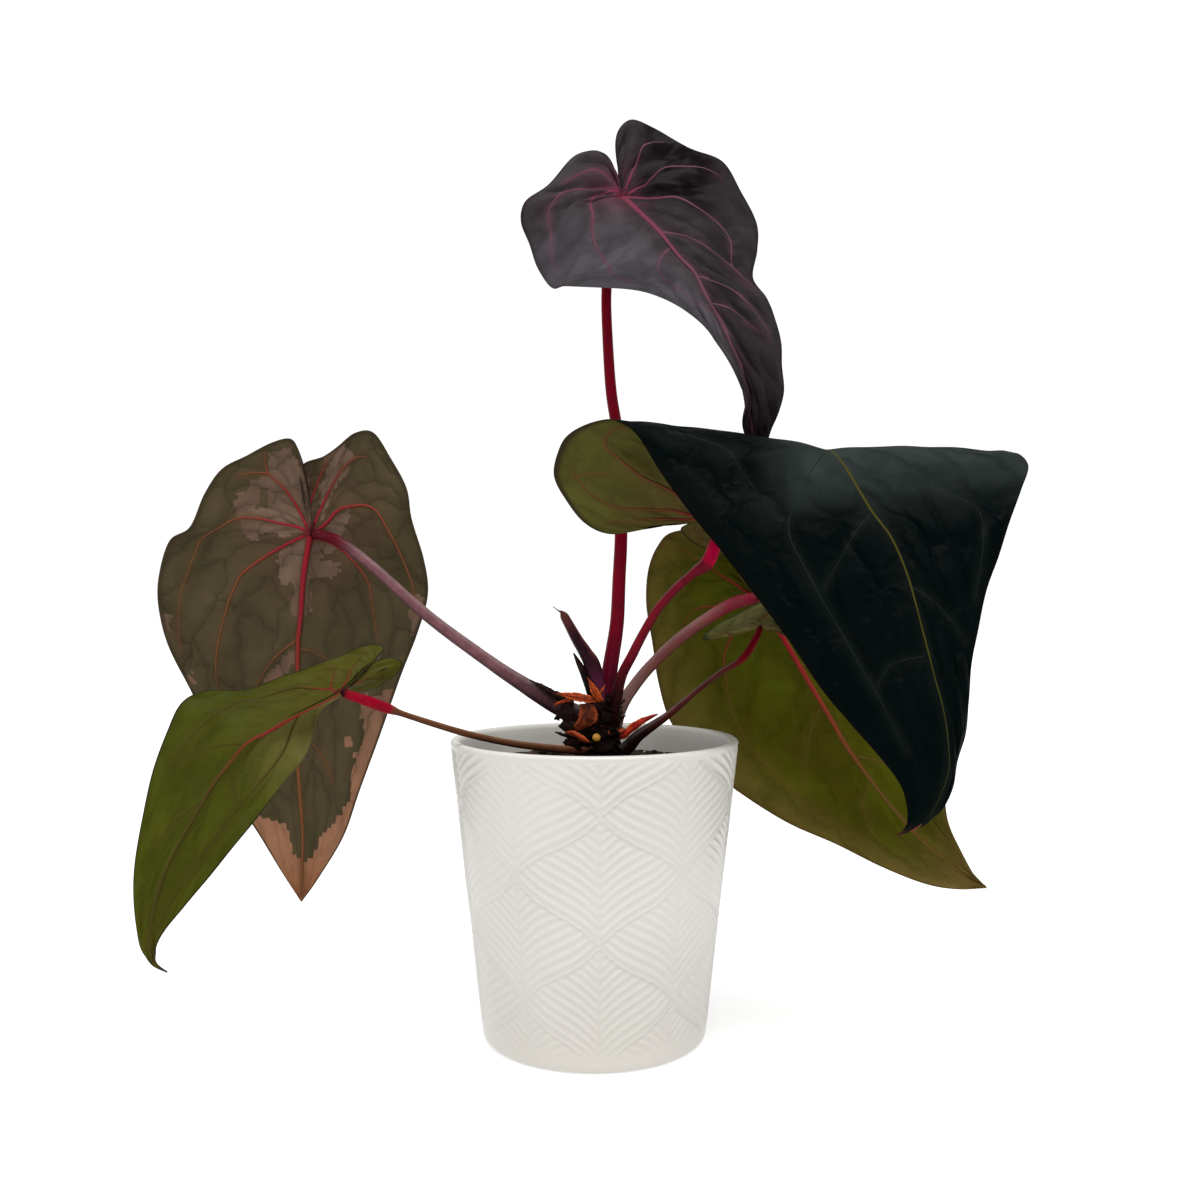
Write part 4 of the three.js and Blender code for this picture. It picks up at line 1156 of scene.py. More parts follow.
def blade_finish(name, given, pink=False, patches=()):
    """The finish of one side of a blade. Each patch is painted light or shade, with a way to find its
    share, and its colour.
    """
    colours = {**BLADE_DEFAULTS, **given}
    finish, tree, shader = new_finish(name, colours["shine"])
    across, along, flat = own_map(tree)
    where = SimpleNamespace(place=object_place(tree), across=across, along=along)
    pleats = between(tree, across, 0.42, 0.58, *colours["pleats"])
    skin = place_group(
        tree, leaf_skin_group(), place=where.place, map=flat, cushions=colours["cushions"],
        columns=colours["columns"], pleats=pleats,
    ).outputs
    blotches = between(tree, noise(tree, flat, scale=7.0, detail=3.0), 0.4, 0.62)
    drift = times(tree, skin["Mottle"], 0.4, times(tree, blotches, 0.6))
    reach = attribute(tree, "reach")
    from_midrib = from_middle(tree, across)
    colour = layered(
        tree, mix(tree, drift, srgb(colours["face"]), srgb(colours["mottle"])),
        (between(tree, reach, 0.03, colours["root_end"], colours["root_share"], 0.0), colours["root"]),
        (between(tree, from_midrib, 0.5, 1.0, 0.0, colours["rim"]), colours["tip"]),
    )
    if pink:
        pinkness = between(tree, attribute(tree, "pink"), 0.42, 0.58)
        colour = mix(tree, pinkness, colour, blush(tree, drift, along, colours["tip"]))
    else:
        colour = layered(tree, colour, (between(tree, along, colours["tip_start"], 1.0), colours["tip"]))
    colour = layered(
        tree, colour,
        (times(tree, skin["Net"], colours["net_share"]), colours["net"]),
        (between(tree, from_midrib, colours["edge_start"], 0.99, 0.0, 0.85), colours["edge"]),
        (times(tree, attribute(tree, "near_vein"), colours["flush_share"]), colours["flush"]),
        (between(tree, reach, 0.012, 0.035, 0.9, 0.0), colours.get("hub", colours["root"])),
    )
    roughness = times(tree, skin["Mottle"], 0.12, colours["gloss"] - 0.06)
    # Each patch paints light or shade over the colour.
    for share_of, patch_colour in patches:
        share = share_of(tree, where)
        colour = layered(tree, colour, (share, patch_colour))
        roughness = times(tree, share, 0.25, roughness)
    # Painted shade: the creases and the hollows between the cushions are darkened.
    crease_shade = times(tree, between(tree, skin["Creases"], 0.4, 0.56, 0.3, 0.0), pleats)
    colour = layered(
        tree, colour,
        (crease_shade, colours["face"], 0.62),
        (times(tree, skin["Hollows"], colours["hollow_shade"]), colours["face"], 0.62),
        (times(tree, skin["Grain"], 0.2), colours["mottle"], 0.6),
    )
    dress(tree, shader, colour, roughness, skin["Height"], strength=colours["relief"], depth=0.0013)
    return finish


def vein_finish(name, near, far, blade, shine):
    """The finish of a leaf's veins from near to far. Their flanks fade into the blade's colour."""
    finish, tree, shader = new_finish(name, shine)
    around, _, _ = own_map(tree)
    crest = sums(tree, "SINE", times(tree, around, 2 * math.pi))
    grain = noise(tree, object_place(tree), scale=1400.0, detail=3.0, roughness=0.7)
    colour = layered(
        tree, srgb(near),
        (between(tree, attribute(tree, "reach"), 0.08, 0.6), far),
        (times(tree, grain, 0.3), far, 0.7),
        (between(tree, crest, 0.1, 0.9, 0.85, 0.0), blade),
    )
    dress(tree, shader, colour, times(tree, grain, 0.3, 0.35), grain, strength=0.25, depth=0.0002)
    return finish


def petiole_finish(name, base, main, top, spans, shine=0.05, top_light=PAINTED_TOP_LIGHT, top_light_share=0.3):
    """The finish of a petiole: its colour changes from the stem to the swollen part under the blade.

    A painted highlight lies on its upper side and painted shade underneath, and its very top is darkest.
    """
    finish, tree, shader = new_finish(name, shine)
    _, along, _ = own_map(tree)
    dry = place_group(tree, dry_skin_group(), place=object_place(tree), scale=220.0).outputs
    upward = attribute(tree, "upward")
    colour = layered(
        tree, srgb(base),
        (between(tree, along, spans[0], spans[1]), main),
        # Painted shade underneath and a painted highlight on top, by how far each point faces up.
        (between(tree, upward, 0.15, 0.55, 0.5, 0.0), main, 0.45),
        (between(tree, upward, 0.62, 0.9, 0.0, top_light_share), top_light),
        (between(tree, along, spans[2], spans[3]), top),
        (times(tree, dry["Streaks"], 0.3), base, 0.7),
        (times(tree, dry["Specks"], 0.25), main, 1.2),
        (between(tree, along, 0.965, 0.99), DARK_JOINT),
    )
    roughness = times(tree, dry["Streaks"], 0.15, 0.32)
    dress(tree, shader, colour, roughness, dry["Height"], strength=0.25, depth=0.0004)
    return finish


def papery_finish(name):
    """The finish of a dry papery scale: bright margins, a darker middle and dark lines along it."""
    main, inner, edge = PAPERY_FINISHES[name]
    finish, tree, shader = new_finish(name, shine=0.12)
    across, along, flat = own_map(tree)
    dry = place_group(tree, dry_skin_group(), place=object_place(tree), scale=330.0).outputs
    long_places = stretched(tree, flat, (16.0, 1.6, 1.0))
    lines = between(tree, noise(tree, long_places, scale=1.0, roughness=0.6), 0.52, 0.66)
    colour = layered(
        tree, srgb(main),
        (dry["Streaks"], inner),
        (between(tree, from_middle(tree, across), 0.55, 1.0, 0.0, 0.8), edge),
        (times(tree, lines, 0.75), inner, 0.3),
        (between(tree, along, 0.0, 0.22, 0.7, 0.0), inner, 0.3),
    )
    dress(tree, shader, colour, times(tree, lines, 0.2, 0.5), dry["Height"], strength=0.6, depth=0.0006)
    return finish


def dry_finish(name):
    """The finish of bark, sheaths and soil: two colours in patches, with specks and a rough relief."""
    main, second, specks, scale, shine, roughness, relief = DRY_FINISHES[name]
    finish, tree, shader = new_finish(name, shine)
    dry = place_group(tree, dry_skin_group(), place=object_place(tree), scale=scale).outputs
    speckled = times(tree, dry["Specks"], 0.6)
    colour = layered(tree, srgb(main), (dry["Streaks"], second), (speckled, specks))
    roughness = times(tree, dry["Specks"], 0.1, roughness)
    dress(tree, shader, colour, roughness, dry["Height"], strength=relief, depth=0.0008)
    return finish


def glaze_finish(colour):
    """White glaze with painted shade, darker and warmer in the pressed grooves and toward the foot."""
    finish, tree, shader = new_finish("pot_glaze", shine=0.5)
    place = object_place(tree)
    cloud = noise(tree, place, scale=22.0, detail=3.0)
    _, _, height = axes_of(tree, place)
    speck = between(tree, noise(tree, place, scale=900.0, detail=2.0), 0.72, 0.78)
    glaze = layered(
        tree, mix(tree, cloud, (*colour, 1.0), (*(0.955 * c for c in colour), 1.0)),
        # Painted shade toward the foot and in the pressed grooves.
        (between(tree, height, 0.0, 0.08, 0.4, 0.0), (184, 178, 168)),
        (times(tree, attribute(tree, "groove"), 0.2), (164, 160, 153)),
        (times(tree, speck, 0.15), (170, 160, 150)),
    )
    dimples = noise(tree, place, scale=260.0, detail=2.0)
    dress(tree, shader, glaze, times(tree, cloud, 0.12, 0.24), dimples, strength=0.12, depth=0.0003)
    return finish


# Settings that a user may change


class PotSettings(bpy.types.PropertyGroup):
    """Sizes and colour of the pot."""

    relief: bpy.props.FloatProperty(
        name="Relief", description="Depth of the pressed ribs", default=0.0008, min=0.0, max=0.002,
        unit="LENGTH"
    )
    rib_pitch: bpy.props.FloatProperty(
        name="Rib pitch", description="Distance from rib to rib up the pot", default=0.0048, min=0.002,
        unit="LENGTH"
    )
    motif_height: bpy.props.FloatProperty(
        name="Motif height", description="Height of one pressed leaf", default=0.058, min=0.02,
        unit="LENGTH"
    )
    glaze: bpy.props.FloatVectorProperty(
        name="Glaze", description="Colour of the glaze", default=(0.64, 0.62, 0.58), min=0, max=1,
        subtype="COLOR"
    )


class LeafSettings(bpy.types.PropertyGroup):
    """Sizes of the blades and their veins."""

    thickness: bpy.props.FloatProperty(
        name="Blade thickness", description="Thickness of a blade", default=0.00055, min=0.0003,
        unit="LENGTH"
    )
    vein_height: bpy.props.FloatProperty(
        name="Vein height", description="How high the veins stand, as a share of their width",
        default=0.42, min=0.0, max=1.0, subtype="FACTOR"
    )
    quilting: bpy.props.FloatProperty(
        name="Quilting", description="How strongly the blade swells between its veins", default=1.0,
        min=0.0, max=2.0
    )


class StageSettings(bpy.types.PropertyGroup):
    """Light and floor."""

    sky: bpy.props.FloatProperty(
        name="Sky", description="Strength of the even light from above", default=0.75, min=0.0
    )
    horizon: bpy.props.FloatProperty(
        name="Horizon", description="Strength of the even light from the sides", default=0.45, min=0.0
    )
    key: bpy.props.FloatProperty(
        name="Key light", description="Strength of the large soft light", default=2.35, min=0.0
    )


# Pot


def wall_radius(height):
    """Radius of the pot's outer wall at a height, both in mm."""
    return POT_BASE_RADIUS + (POT_TOP_RADIUS - POT_BASE_RADIUS) * height / POT_HEIGHT


def round_pot(angle, radius, height):
    """Places round the pot's axis. The angle is 0 in front and grows to the right."""
    return np.stack([radius * np.sin(angle), -radius * np.cos(angle), height], axis=1)


def pressed_ribs(turn, height, pitch, motif):
    """The pressed leaf pattern, 0 in grooves and 1 on ribs, at turns round the pot and heights in mm.

    Tall leaf shapes stand in ten staggered columns. Ribs rise from each one's groove in the middle and
    flatten toward its sides.
    """
    columns = 10
    first_axis = 2.3 / 360
    first_foot = 1.0
    fading_room = 2.2
    groove_width = 0.035
    across = (turn - first_axis) * columns
    column = np.floor(across)
    x = across - column
    foot = first_foot + motif / 2 * (column % 2)

    def edge(share):
        bent = 0.5 + 0.5 * (2 * share - 1) ** 3
        return motif / 2 * (0.68 * share + 0.32 * bent)

    risen = (height - foot - edge(x)) % motif
    top = motif / 2 + edge(1 - x) - edge(x)
    inside = risen < top
    up_from_edge = np.where(inside, risen, risen - top)
    room = np.where(inside, top - risen, motif - risen)
    from_axis = np.where(inside, x, 1 - x)
    ribs = 0.5 + 0.5 * np.cos(2 * math.pi * up_from_edge / pitch)
    ribs = ribs * np.clip(room / fading_room, 0, 1)
    groove = np.clip(from_axis / groove_width, 0.25, 1)
    return ribs * groove


def rib_strength(angle, height):
    """How deep the ribs are at an angle and a height in mm: uneven, and shallower toward the foot."""
    spots = round_pot(angle, PATTERN_RADIUS, height)
    band = np.clip((height - 5) / 8, 0, 1) * np.clip((142.4 - height) / 2, 0, 1)
    uneven = np.clip(0.74 + 0.5 * waviness(spots, length=60, seed=3), 0.42, 1.15)
    return band * uneven * (0.55 + 0.55 * height / POT_HEIGHT)


class ANTHURIUM_OT_pot(bpy.types.Operator):
    """Makes the glazed pot with its pressed leaf pattern"""

    bl_idname = "anthurium.pot"
    bl_label = "Pot"

    def execute(self, context):
        settings = context.scene.anthurium_pot
        foot = [(0, 0)]
        foot += [(POT_BASE_RADIUS - inset, z) for inset, z in ((7, 0), (3.4, 0), (1.6, 0.5), (0.4, 1.6))]
        foot += [(wall_radius(2.8) - 0.05, 2.8)]
        wall = [(wall_radius(z), z) for z in np.linspace(4, 142.8, 218)]
        lip = [(wall_radius(z) + out, z) for z, out in POT_LIP]
        inner_top = wall_radius(POT_HEIGHT) - POT_WALL
        inside = [(inner_top - 0.3, 142.5), (inner_top - 0.8, 138)]
        inside += [(wall_radius(z) - POT_WALL, z) for z in (128, 60, 12)]
        inside += [(wall_radius(POT_FLOOR) - POT_WALL - 5, POT_FLOOR), (0, POT_FLOOR)]
        profile = np.array(foot + wall + lip + inside)

        def ribs_at(turn, height):
            return pressed_ribs(turn, height, settings.rib_pitch / MM, settings.motif_height / MM)

        def place(x, y):
            at = np.rint(y * (len(profile) - 1)).astype(int)
            radius, height = profile[at, 0].copy(), profile[at, 1]
            angle = 2 * math.pi * x
            on_wall = (at >= len(foot)) & (at < len(foot) + len(wall))
            depth = rib_strength(angle, height) * (settings.relief / MM)
            spots = round_pot(angle, PATTERN_RADIUS, height)
            hand_made = 0.12 * waviness(spots, length=45, seed=5)
            radius += np.where(on_wall, depth, 0) * (ribs_at(x, height) - 0.45)
            radius += np.where(on_wall, hand_made, 0)
            return round_pot(angle, radius, height) * MM

        pot = grid_piece("pot_glazed", 400, len(profile) - 1, place)
        x, y, height = points_of(pot).T / MM
        angle = np.arctan2(x, -y)
        grooves = 1 - ribs_at(angle / (2 * math.pi) % 1, height)
        outside = np.hypot(x, y) > wall_radius(height) - 1.5
        # The grooves' depth, from which the glaze paints shade in them.
        add_mask(pot, "groove", np.where(outside, grooves * rib_strength(angle, height), 0))
        face_outward(pot)
        put_on(pot, glaze_finish(settings.glaze))
        finish_piece(pot, "pot_glaze", "pot")
        return {"FINISHED"}


# Soil


def soil_height(x, y):
    """Height of the soil's lumpy top at places in mm."""
    lump = np.sin(0.31 * x + 1) * np.cos(0.27 * y) + 0.6 * np.sin(0.7 * x + 2) * np.sin(0.6 * y + 1)
    spots = np.stack([x, y, np.zeros_like(x)], axis=-1)
    fine = 0.5 * waviness(spots, length=9, seed=11) + 0.35 * waviness(spots, length=4, seed=12)
    return SOIL_TOP + 1.2 * lump + fine


class ANTHURIUM_OT_soil(bpy.types.Operator):
    """Makes the lumpy soil with its bark chips, crumbs and a half-sunk twig"""

    bl_idname = "anthurium.soil"
    bl_label = "Soil"

    def execute(self, context):
        bottom = POT_FLOOR + 0.3
        edge = wall_radius(SOIL_TOP) - POT_WALL - 0.3
        top_rows = 64
        outline = [(edge * i / top_rows, SOIL_TOP) for i in range(top_rows + 1)]
        outline += [(wall_radius(bottom + 5) - POT_WALL - 0.5, bottom + 5),
                    (wall_radius(bottom) - POT_WALL - 5.3, bottom), (0, bottom)]

        def place(x, y):
            at = np.rint(y * (len(outline) - 1)).astype(int)
            radius, level = np.array(outline)[at].T
            angle = 2 * math.pi * x
            px, py = radius * np.cos(angle), radius * np.sin(angle)
            rim = np.clip((edge - radius) / 6, 0, 1)
            top = SOIL_TOP + (soil_height(px, py) - SOIL_TOP) * rim
            height = np.where(at <= top_rows, top, level)
            return np.stack([px, py, height], axis=1) * MM

        soil = grid_piece("soil_bed", columns=150, rows=len(outline) - 1, place=place)
        face_outward(soil)
        put_on(soil, dry_finish("soil"))
        finish_piece(soil, "soil", "soil")
        twig = stalk("twig", TWIG, sides=10, rings=24)
        put_on(twig, dry_finish("twig_bark"))
        finish_piece(twig, "soil")
        finish_piece(join("soil_crumbs", self.chips()), "soil")
        return {"FINISHED"}

    def chips(self):
        """Bark chips, crumbs and white grains, each half sunk in the soil."""
        source = np.random.default_rng(7)
        kinds = (
            (dry_finish("soil_crumb"), 260, (0.8, 1.7), 0.75),
            (dry_finish("bark_chip"), 60, (2.0, 4.2), 0.35),
            (dry_finish("white_grain"), 26, (0.8, 1.6), 0.85),
        )
        made = []
        for finish, count, sizes, flatness in kinds:
            deselect_all()
            bpy.ops.mesh.primitive_ico_sphere_add(subdivisions=1, radius=1.0)
            pattern = bpy.context.object
            put_on(pattern, finish)
            for _ in range(count):
                chip = pattern.copy()
                chip.data = pattern.data.copy()
                bpy.context.collection.objects.link(chip)
                reach = CHIPS_REACH * math.sqrt(source.uniform(0.05, 1))
                angle = source.uniform(0, 2 * math.pi)
                px, py = reach * math.cos(angle), reach * math.sin(angle)
                size = source.uniform(*sizes)
                places = points_of(chip)
                places *= source.uniform(0.7, 1.3, places.shape)
                width, depth = size * source.uniform(0.8, 1.4), size * source.uniform(0.5, 1)
                places *= (width, depth, size * flatness)
                tilt = Matrix.Rotation(source.uniform(-0.4, 0.4), 3, "X")
                turned = Matrix.Rotation(angle * 3, 3, "Z") @ tilt
                places = places @ np.array(turned).T
                ground = float(soil_height(np.array([px]), np.array([py]))[0])
                set_points(chip, (places + (px, py, ground + 0.15 * size * flatness)) * MM)
                made.append(chip)
            bpy.data.objects.remove(pattern)
        return made


# Stem, petioles and sheaths


def stem_lean(height):
    """How far the stem's middle is to the right at a height, both in mm."""
    return (height - STEM_OUTLINE[0][0]) * STEM_LEAN


class ANTHURIUM_OT_stem(bpy.types.Operator):
    """Makes the short stem with its leaf scars"""

    bl_idname = "anthurium.stem"
    bl_label = "Stem"

    def execute(self, context):
        outline = np.array(STEM_OUTLINE, float)

        def place(x, y):
            height, radius = smooth(outline, y * (len(outline) - 1)).T
            angle = 2 * math.pi * x
            spots = np.stack([np.cos(angle) * 10, np.sin(angle) * 10, height], axis=1)
            rough = 0.55 * waviness(spots, length=6, seed=21)
            rough = rough + 0.35 * waviness(spots, length=2.5, seed=22)
            scars = 0.2 * np.sin(height * 1.9 + 0.8 * np.sin(angle))
            radius = (radius - 0.8 + 1.3 * rough + scars) * rounded(y, steepness=30)
            px, py = stem_lean(height) + radius * np.cos(angle), radius * np.sin(angle)
            return np.stack([px, py, height], axis=1) * MM

        stem = grid_piece("stem_scarred", columns=72, rows=140, place=place)
        face_outward(stem)
        put_on(stem, dry_finish("stem_bark"))
        finish_piece(stem, "stem_bark", "stem")
        return {"FINISHED"}


class ANTHURIUM_OT_petioles(bpy.types.Operator):
    """Makes the six leaf stalks with their swollen tops"""

    bl_idname = "anthurium.petioles"
    bl_label = "Petioles"

    def execute(self, context):
        for name, stations in PETIOLES.items():
            piece = stalk(f"{name}_stalk", stations, sides=28, rings=120, ribs=0.025)
            put_on(piece, petiole_finish(f"{name}_petiole", *PETIOLE_FINISHES[name]))
            finish_piece(piece, LEAF_SLOTS[name][1], f"{name}_petiole")
        return {"FINISHED"}


class ANTHURIUM_OT_sheaths(bpy.types.Operator):
    """Makes the dry scales, the two pointed sheaths and the root bud at the crown"""

    bl_idname = "anthurium.sheaths"
    bl_label = "Sheaths"

    def execute(self, context):
        dark = dry_finish("sheath_dark")
        orange, fiery, umber = (papery_finish(name) for name in PAPERY_FINISHES)
        own_finishes = {
            "dark_sheath_left": dark, "orange_sheath_right": fiery, "orange_sheath_front": umber,
        }
        for name, table in SCALES.items():
            slot = "sheath_dark" if name.startswith("dark") else "sheath_orange"
            piece = self.scale(f"{name}_dry", table, 0.1, own_finishes.get(name, orange))
            finish_piece(piece, slot, name)
        torn = [self.scale("torn", table, 0.3, dark) for table in TORN_SHEATHS]
        torn += [self.scale("torn", table, 0.2, orange) for table in TORN_ORANGE_SHEATHS]
        finish_piece(join("torn_sheaths", torn), "sheath_dark")
        for name, stations in SPEARS.items():
            piece = stalk(f"{name}_pleated", stations, sides=36, rings=120, ribs=0.05)
            colours = SPEAR_FINISHES[name]
            # The spears too get a painted highlight on top and painted shade underneath.
            put_on(piece, petiole_finish(f"{name}_skin", *colours, top_light=SPEAR_TOP_LIGHT, top_light_share=0.6))
            finish_piece(piece, "sheath_dark", name)
        bud = stalk("root_bud_round", ROOT_BUD, sides=20, rings=24)
        put_on(bud, dry_finish("root_bud"))
        finish_piece(bud, "root_bud", "root_bud")
        return {"FINISHED"}

    def scale(self, name, table, raggedness, finish):
        """One dry scale with a ragged edge."""
        shape = {"rows": table[:-1], "tip": table[-1], "arch": 0.6, "wave": 0.4, "waves": 2}
        count = len(shape["rows"])
        phase = table[-1][2]

        def place(x, y):
            ragged = 1 - raggedness * (1 + np.sin(y * 47 + phase + 3 * np.sin(y * 19 + phase)))
            return leaf_surface(shape, y * count, (1 - 2 * x) * ragged)[0]

        piece = grid_piece(name, columns=16, rows=36, place=place)
        places = points_of(piece)
        crumple = waviness(places, length=0.005, seed=31) * 0.0003
        set_points(piece, places + normals_of(piece) * crumple[:, None])
        thicken(piece, thickness=0.0005)
        put_on(piece, finish)
        return piece


class ANTHURIUM_OT_fibres(bpy.types.Operator):
    """Makes the dark fibres that old sheaths leave all round the crown"""

    bl_idname = "anthurium.fibres"
    bl_label = "Crown fibres"

    def execute(self, context):
        finishes = [dry_finish(name) for name in ("fibre_dark", "fibre_brown", "fibre_orange")]
        source = np.random.default_rng(17)
        fibres = []
        for index in range(110):
            turn = 2 * math.pi * (index * GOLDEN_TURN % 1)
            height = source.uniform(*FIBRE_HEIGHTS)
            kind = source.choice(3, p=(0.66, 0.24, 0.1))
            fibre = self.fibre(turn, height, source)
            put_on(fibre, finishes[kind])
            fibres.append(fibre)
        finish_piece(join("crown_fibres", fibres), "sheath_dark")
        return {"FINISHED"}

    def fibre(self, turn, height, source):
        """One thin curved strip that starts in the stem's bark and points up and outward."""
        radius = float(np.interp(height, *np.array(STEM_OUTLINE, float).T)) - 1.4
        outward_way = np.array([math.cos(turn), math.sin(turn), 0])
        around = np.array([-math.sin(turn), math.cos(turn), 0])
        start = outward_way * radius + np.array([stem_lean(height), 0, height])
        length = source.uniform(3, 8.5)
        width = source.uniform(0.7, 2.4)
        rise = source.uniform(0.2, 1.0) * (1 if source.random() < 0.8 else -0.6)
        lean_out = source.uniform(0.15, 0.55)
        sideways = source.uniform(-0.7, 0.7)
        curl = source.uniform(-0.6, 0.9)
        way = unit(outward_way * lean_out + around * sideways + np.array([0, 0, rise]))
        breadth_way = unit(np.cross(way, outward_way))

        def place(x, y):
            along = start + way * (length * y)[:, None] + outward_way * (curl * y**2)[:, None]
            half = width * (1 - y) ** 0.7 * (1 + 0.35 * np.sin(11 * y + turn * 5))
            cupped = outward_way * (0.25 * width * (1 - 4 * (x - 0.5) ** 2))[:, None]
            return (along + breadth_way * ((x - 0.5) * half)[:, None] + cupped) * MM

        fibre = grid_piece("fibre", columns=4, rows=9, place=place)
        thicken(fibre, thickness=0.0003)
        return fibre


# Leaves


def vein_places(leaf, path, y):
    """Places along a vein and the way up there, at shares y of its length."""
    controls = np.array(path, float)
    at = smooth(controls, np.clip(y, 0, 1) * (len(controls) - 1))
    return leaf_surface(leaf, at[:, 0], np.clip(at[:, 1], -0.97, 0.97))


def reach_of(leaf, places):
    """How far each place on a leaf is from the petiole's top, as a share of the way to the tip."""
    hub = np.array(leaf["hub"], float) * MM
    tip = np.array(leaf["tip"], float) * MM
    return np.linalg.norm(places - hub, axis=1) / np.linalg.norm(tip - hub)


def tree_of(places):
    """A quick way to find the nearest of some places."""
    tree = KDTree(len(places))
    for index, place in enumerate(places):
        tree.insert(place, index)
    tree.balance()
    return tree


def distances(places, others):
    """How far each place is from the nearest of some others."""
    tree = tree_of(others)
    return np.array([tree.find(place)[2] for place in places])


def inside_outline(x, z, outline):
    """Which of some places lie inside an outline."""
    found = np.zeros(len(x), bool)
    for (ax, az), (bx, bz) in zip(outline, outline[1:] + outline[:1]):
        crosses = (az > z) != (bz > z)
        meets = (bx - ax) * (z - az) / ((bz - az) or 1e-9) + ax
        found ^= crosses & (x < meets)
    return found


def pinkness(places):
    """Where the variegated leaf is pink: 1 in its sectors, whose edges are stepped from cell to cell."""
    cell = 2.1
    source = np.random.default_rng(5)
    grid_x, grid_z = np.meshgrid(np.arange(-230, -75, cell), np.arange(50, 305, cell))
    seeds = np.stack([grid_x.ravel(), grid_z.ravel()], axis=1)
    seeds = seeds + source.uniform(-0.25 * cell, 0.25 * cell, seeds.shape)
    pink = np.zeros(len(seeds), bool)
    for outline in PINK_SECTORS:
        pink |= inside_outline(*seeds.T, outline)
    for outline in GREEN_PATCHES:
        pink &= ~inside_outline(*seeds.T, outline)
    tree = tree_of([(x, 0, z) for x, z in seeds])
    nearest = [tree.find((x / MM, 0, z / MM))[1] for x, _, z in places]
    return pink[nearest].astype(float)


class ANTHURIUM_OT_blades(bpy.types.Operator):
    """Makes the six leaf blades with their veins"""

    bl_idname = "anthurium.blades"
    bl_label = "Leaf blades"

    # Patches of painted light and shade: a sheen and a shade on the top leaf, a highlight over the
    # folded leaf's fold and a lit part on the small front leaf's underside.
    upper_painted_light = {
        "top_leaf": ((painted_sheen_skirt, (92, 90, 96)), (painted_shade_half, (14, 8, 9))),
        "folded_leaf": ((painted_sheen_fold, (50, 57, 54)),),
    }
    under_painted_light = {"small_front_leaf": ((painted_light_lap, (124, 116, 66)),)}

    def execute(self, context):
        settings = context.scene.anthurium_leaf
        for name, leaf in LEAVES.items():
            slot = LEAF_SLOTS[name][0]
            finish_piece(self.blade(name, leaf, settings), slot, f"{name}_blade")
            for piece in self.veins(name, leaf, settings):
                finish_piece(piece, slot)
        return {"FINISHED"}

    def blade(self, name, leaf, settings):
        """One blade: swollen between its veins, thin, with a finish on each side."""
        count = len(leaf["rows"])
        steps_along = 10
        steps_across = 110
        inside_margin = 0.992

        def place(x, y):
            return leaf_surface(leaf, y * count, (1 - 2 * x) * inside_margin)[0]

        blade = grid_piece(f"{name}_lamina", steps_across, count * steps_along, place)
        places = points_of(blade)
        paths = [path for _, path in leaf["veins"]]
        veins = [vein_places(leaf, path, np.linspace(0, 1, 30 * len(path)))[0] for path in paths]
        from_vein = distances(places, np.vstack(veins))
        rows = np.linspace(0, count, 40 * count)
        margins = [leaf_surface(leaf, rows, np.full(len(rows), t))[0] for t in (-1.0, 1.0)]
        from_margin = distances(places, np.vstack(margins))
        full_swelling = leaf["quilt"] * settings.quilting * MM
        swelling = full_swelling * (1 - np.exp(-((from_vein / QUILT_SLOPE) ** 2)))
        swelling = swelling * np.clip(from_margin / MARGIN_SLOPE, 0, 1)
        places = places + normals_of(blade) * swelling[:, None]
        set_points(blade, places)
        add_mask(blade, "near_vein", np.exp(-((from_vein / FLUSH_WIDTH) ** 2)))
        add_mask(blade, "reach", reach_of(leaf, places))
        pink = name == "variegated_leaf"
        if pink:
            add_mask(blade, "pink", pinkness(places))
        upper, under = BLADE_FINISHES[name]
        put_on(
            blade,
            blade_finish(f"{name}_upper", upper, patches=self.upper_painted_light.get(name, ())),
            blade_finish(f"{name}_under", under, pink=pink, patches=self.under_painted_light.get(name, ())),
        )
        thicken(blade, settings.thickness, under_finish=1)
        return blade

    def veins(self, name, leaf, settings):
        """A leaf's veins on both sides: nearly flush above and raised below."""
        upper_colours, under_colours, fadings, upper_breadth = VEIN_FINISHES[name]
        upper_face, under_face = (given["face"] for given in BLADE_FINISHES[name])
        upper = vein_finish(f"{name}_vein_upper", *upper_colours, upper_face, 0.04)
        under = vein_finish(f"{name}_vein_under", *under_colours, under_face, 0.1)
        made = []
        for label, side, breadth, height, finish in (
            ("upper", 1, upper_breadth, UPPER_VEIN_HEIGHT, upper),
            ("under", -1, 1.0, settings.vein_height, under),
        ):
            tubes = []
            for index, (width, path) in enumerate(leaf["veins"]):
                breadth_here = breadth * (1.0 if index else MIDRIB_BREADTH)
                tube = self.vein(leaf, width * breadth_here, path, side, height, settings.thickness)
                add_mask(tube, "reach", reach_of(leaf, points_of(tube)) * fadings[index > 0])
                tubes.append(tube)
            piece = join(f"{name}_veins_{label}", tubes)
            face_outward(piece)
            put_on(piece, finish)
            made.append(piece)
        return made

    def vein(self, leaf, width, path, side, height, thickness):
        """One vein: a low ridge that narrows toward the margin. Its lower half is sunk in the blade."""
        sunk = 0.00016
        near = 0.004

        def place(x, y):
            centre, up = vein_places(leaf, path, y)
            ahead, _ = vein_places(leaf, path, y + near)
            behind, _ = vein_places(leaf, path, y - near)
            outward_way = up * side
            across = unit(np.cross(unit(ahead - behind), outward_way))
            ends = np.sqrt(np.clip(np.minimum(y * 40, (1 - y) * 14), 0, 1))
            half = 0.5 * width * MM * (1 - 0.68 * y) * ends
            angle = 2 * math.pi * x
            rise = np.where(np.sin(angle) > 0, 2 * half * height, sunk) * np.sin(angle)
            surface = centre + outward_way * (thickness / 2)
            return surface + across * (half * np.cos(angle))[:, None] + outward_way * rise[:, None]

        return grid_piece("vein", columns=8, rows=14 * (len(path) - 1), place=place, merge=0.000002)


# Stage


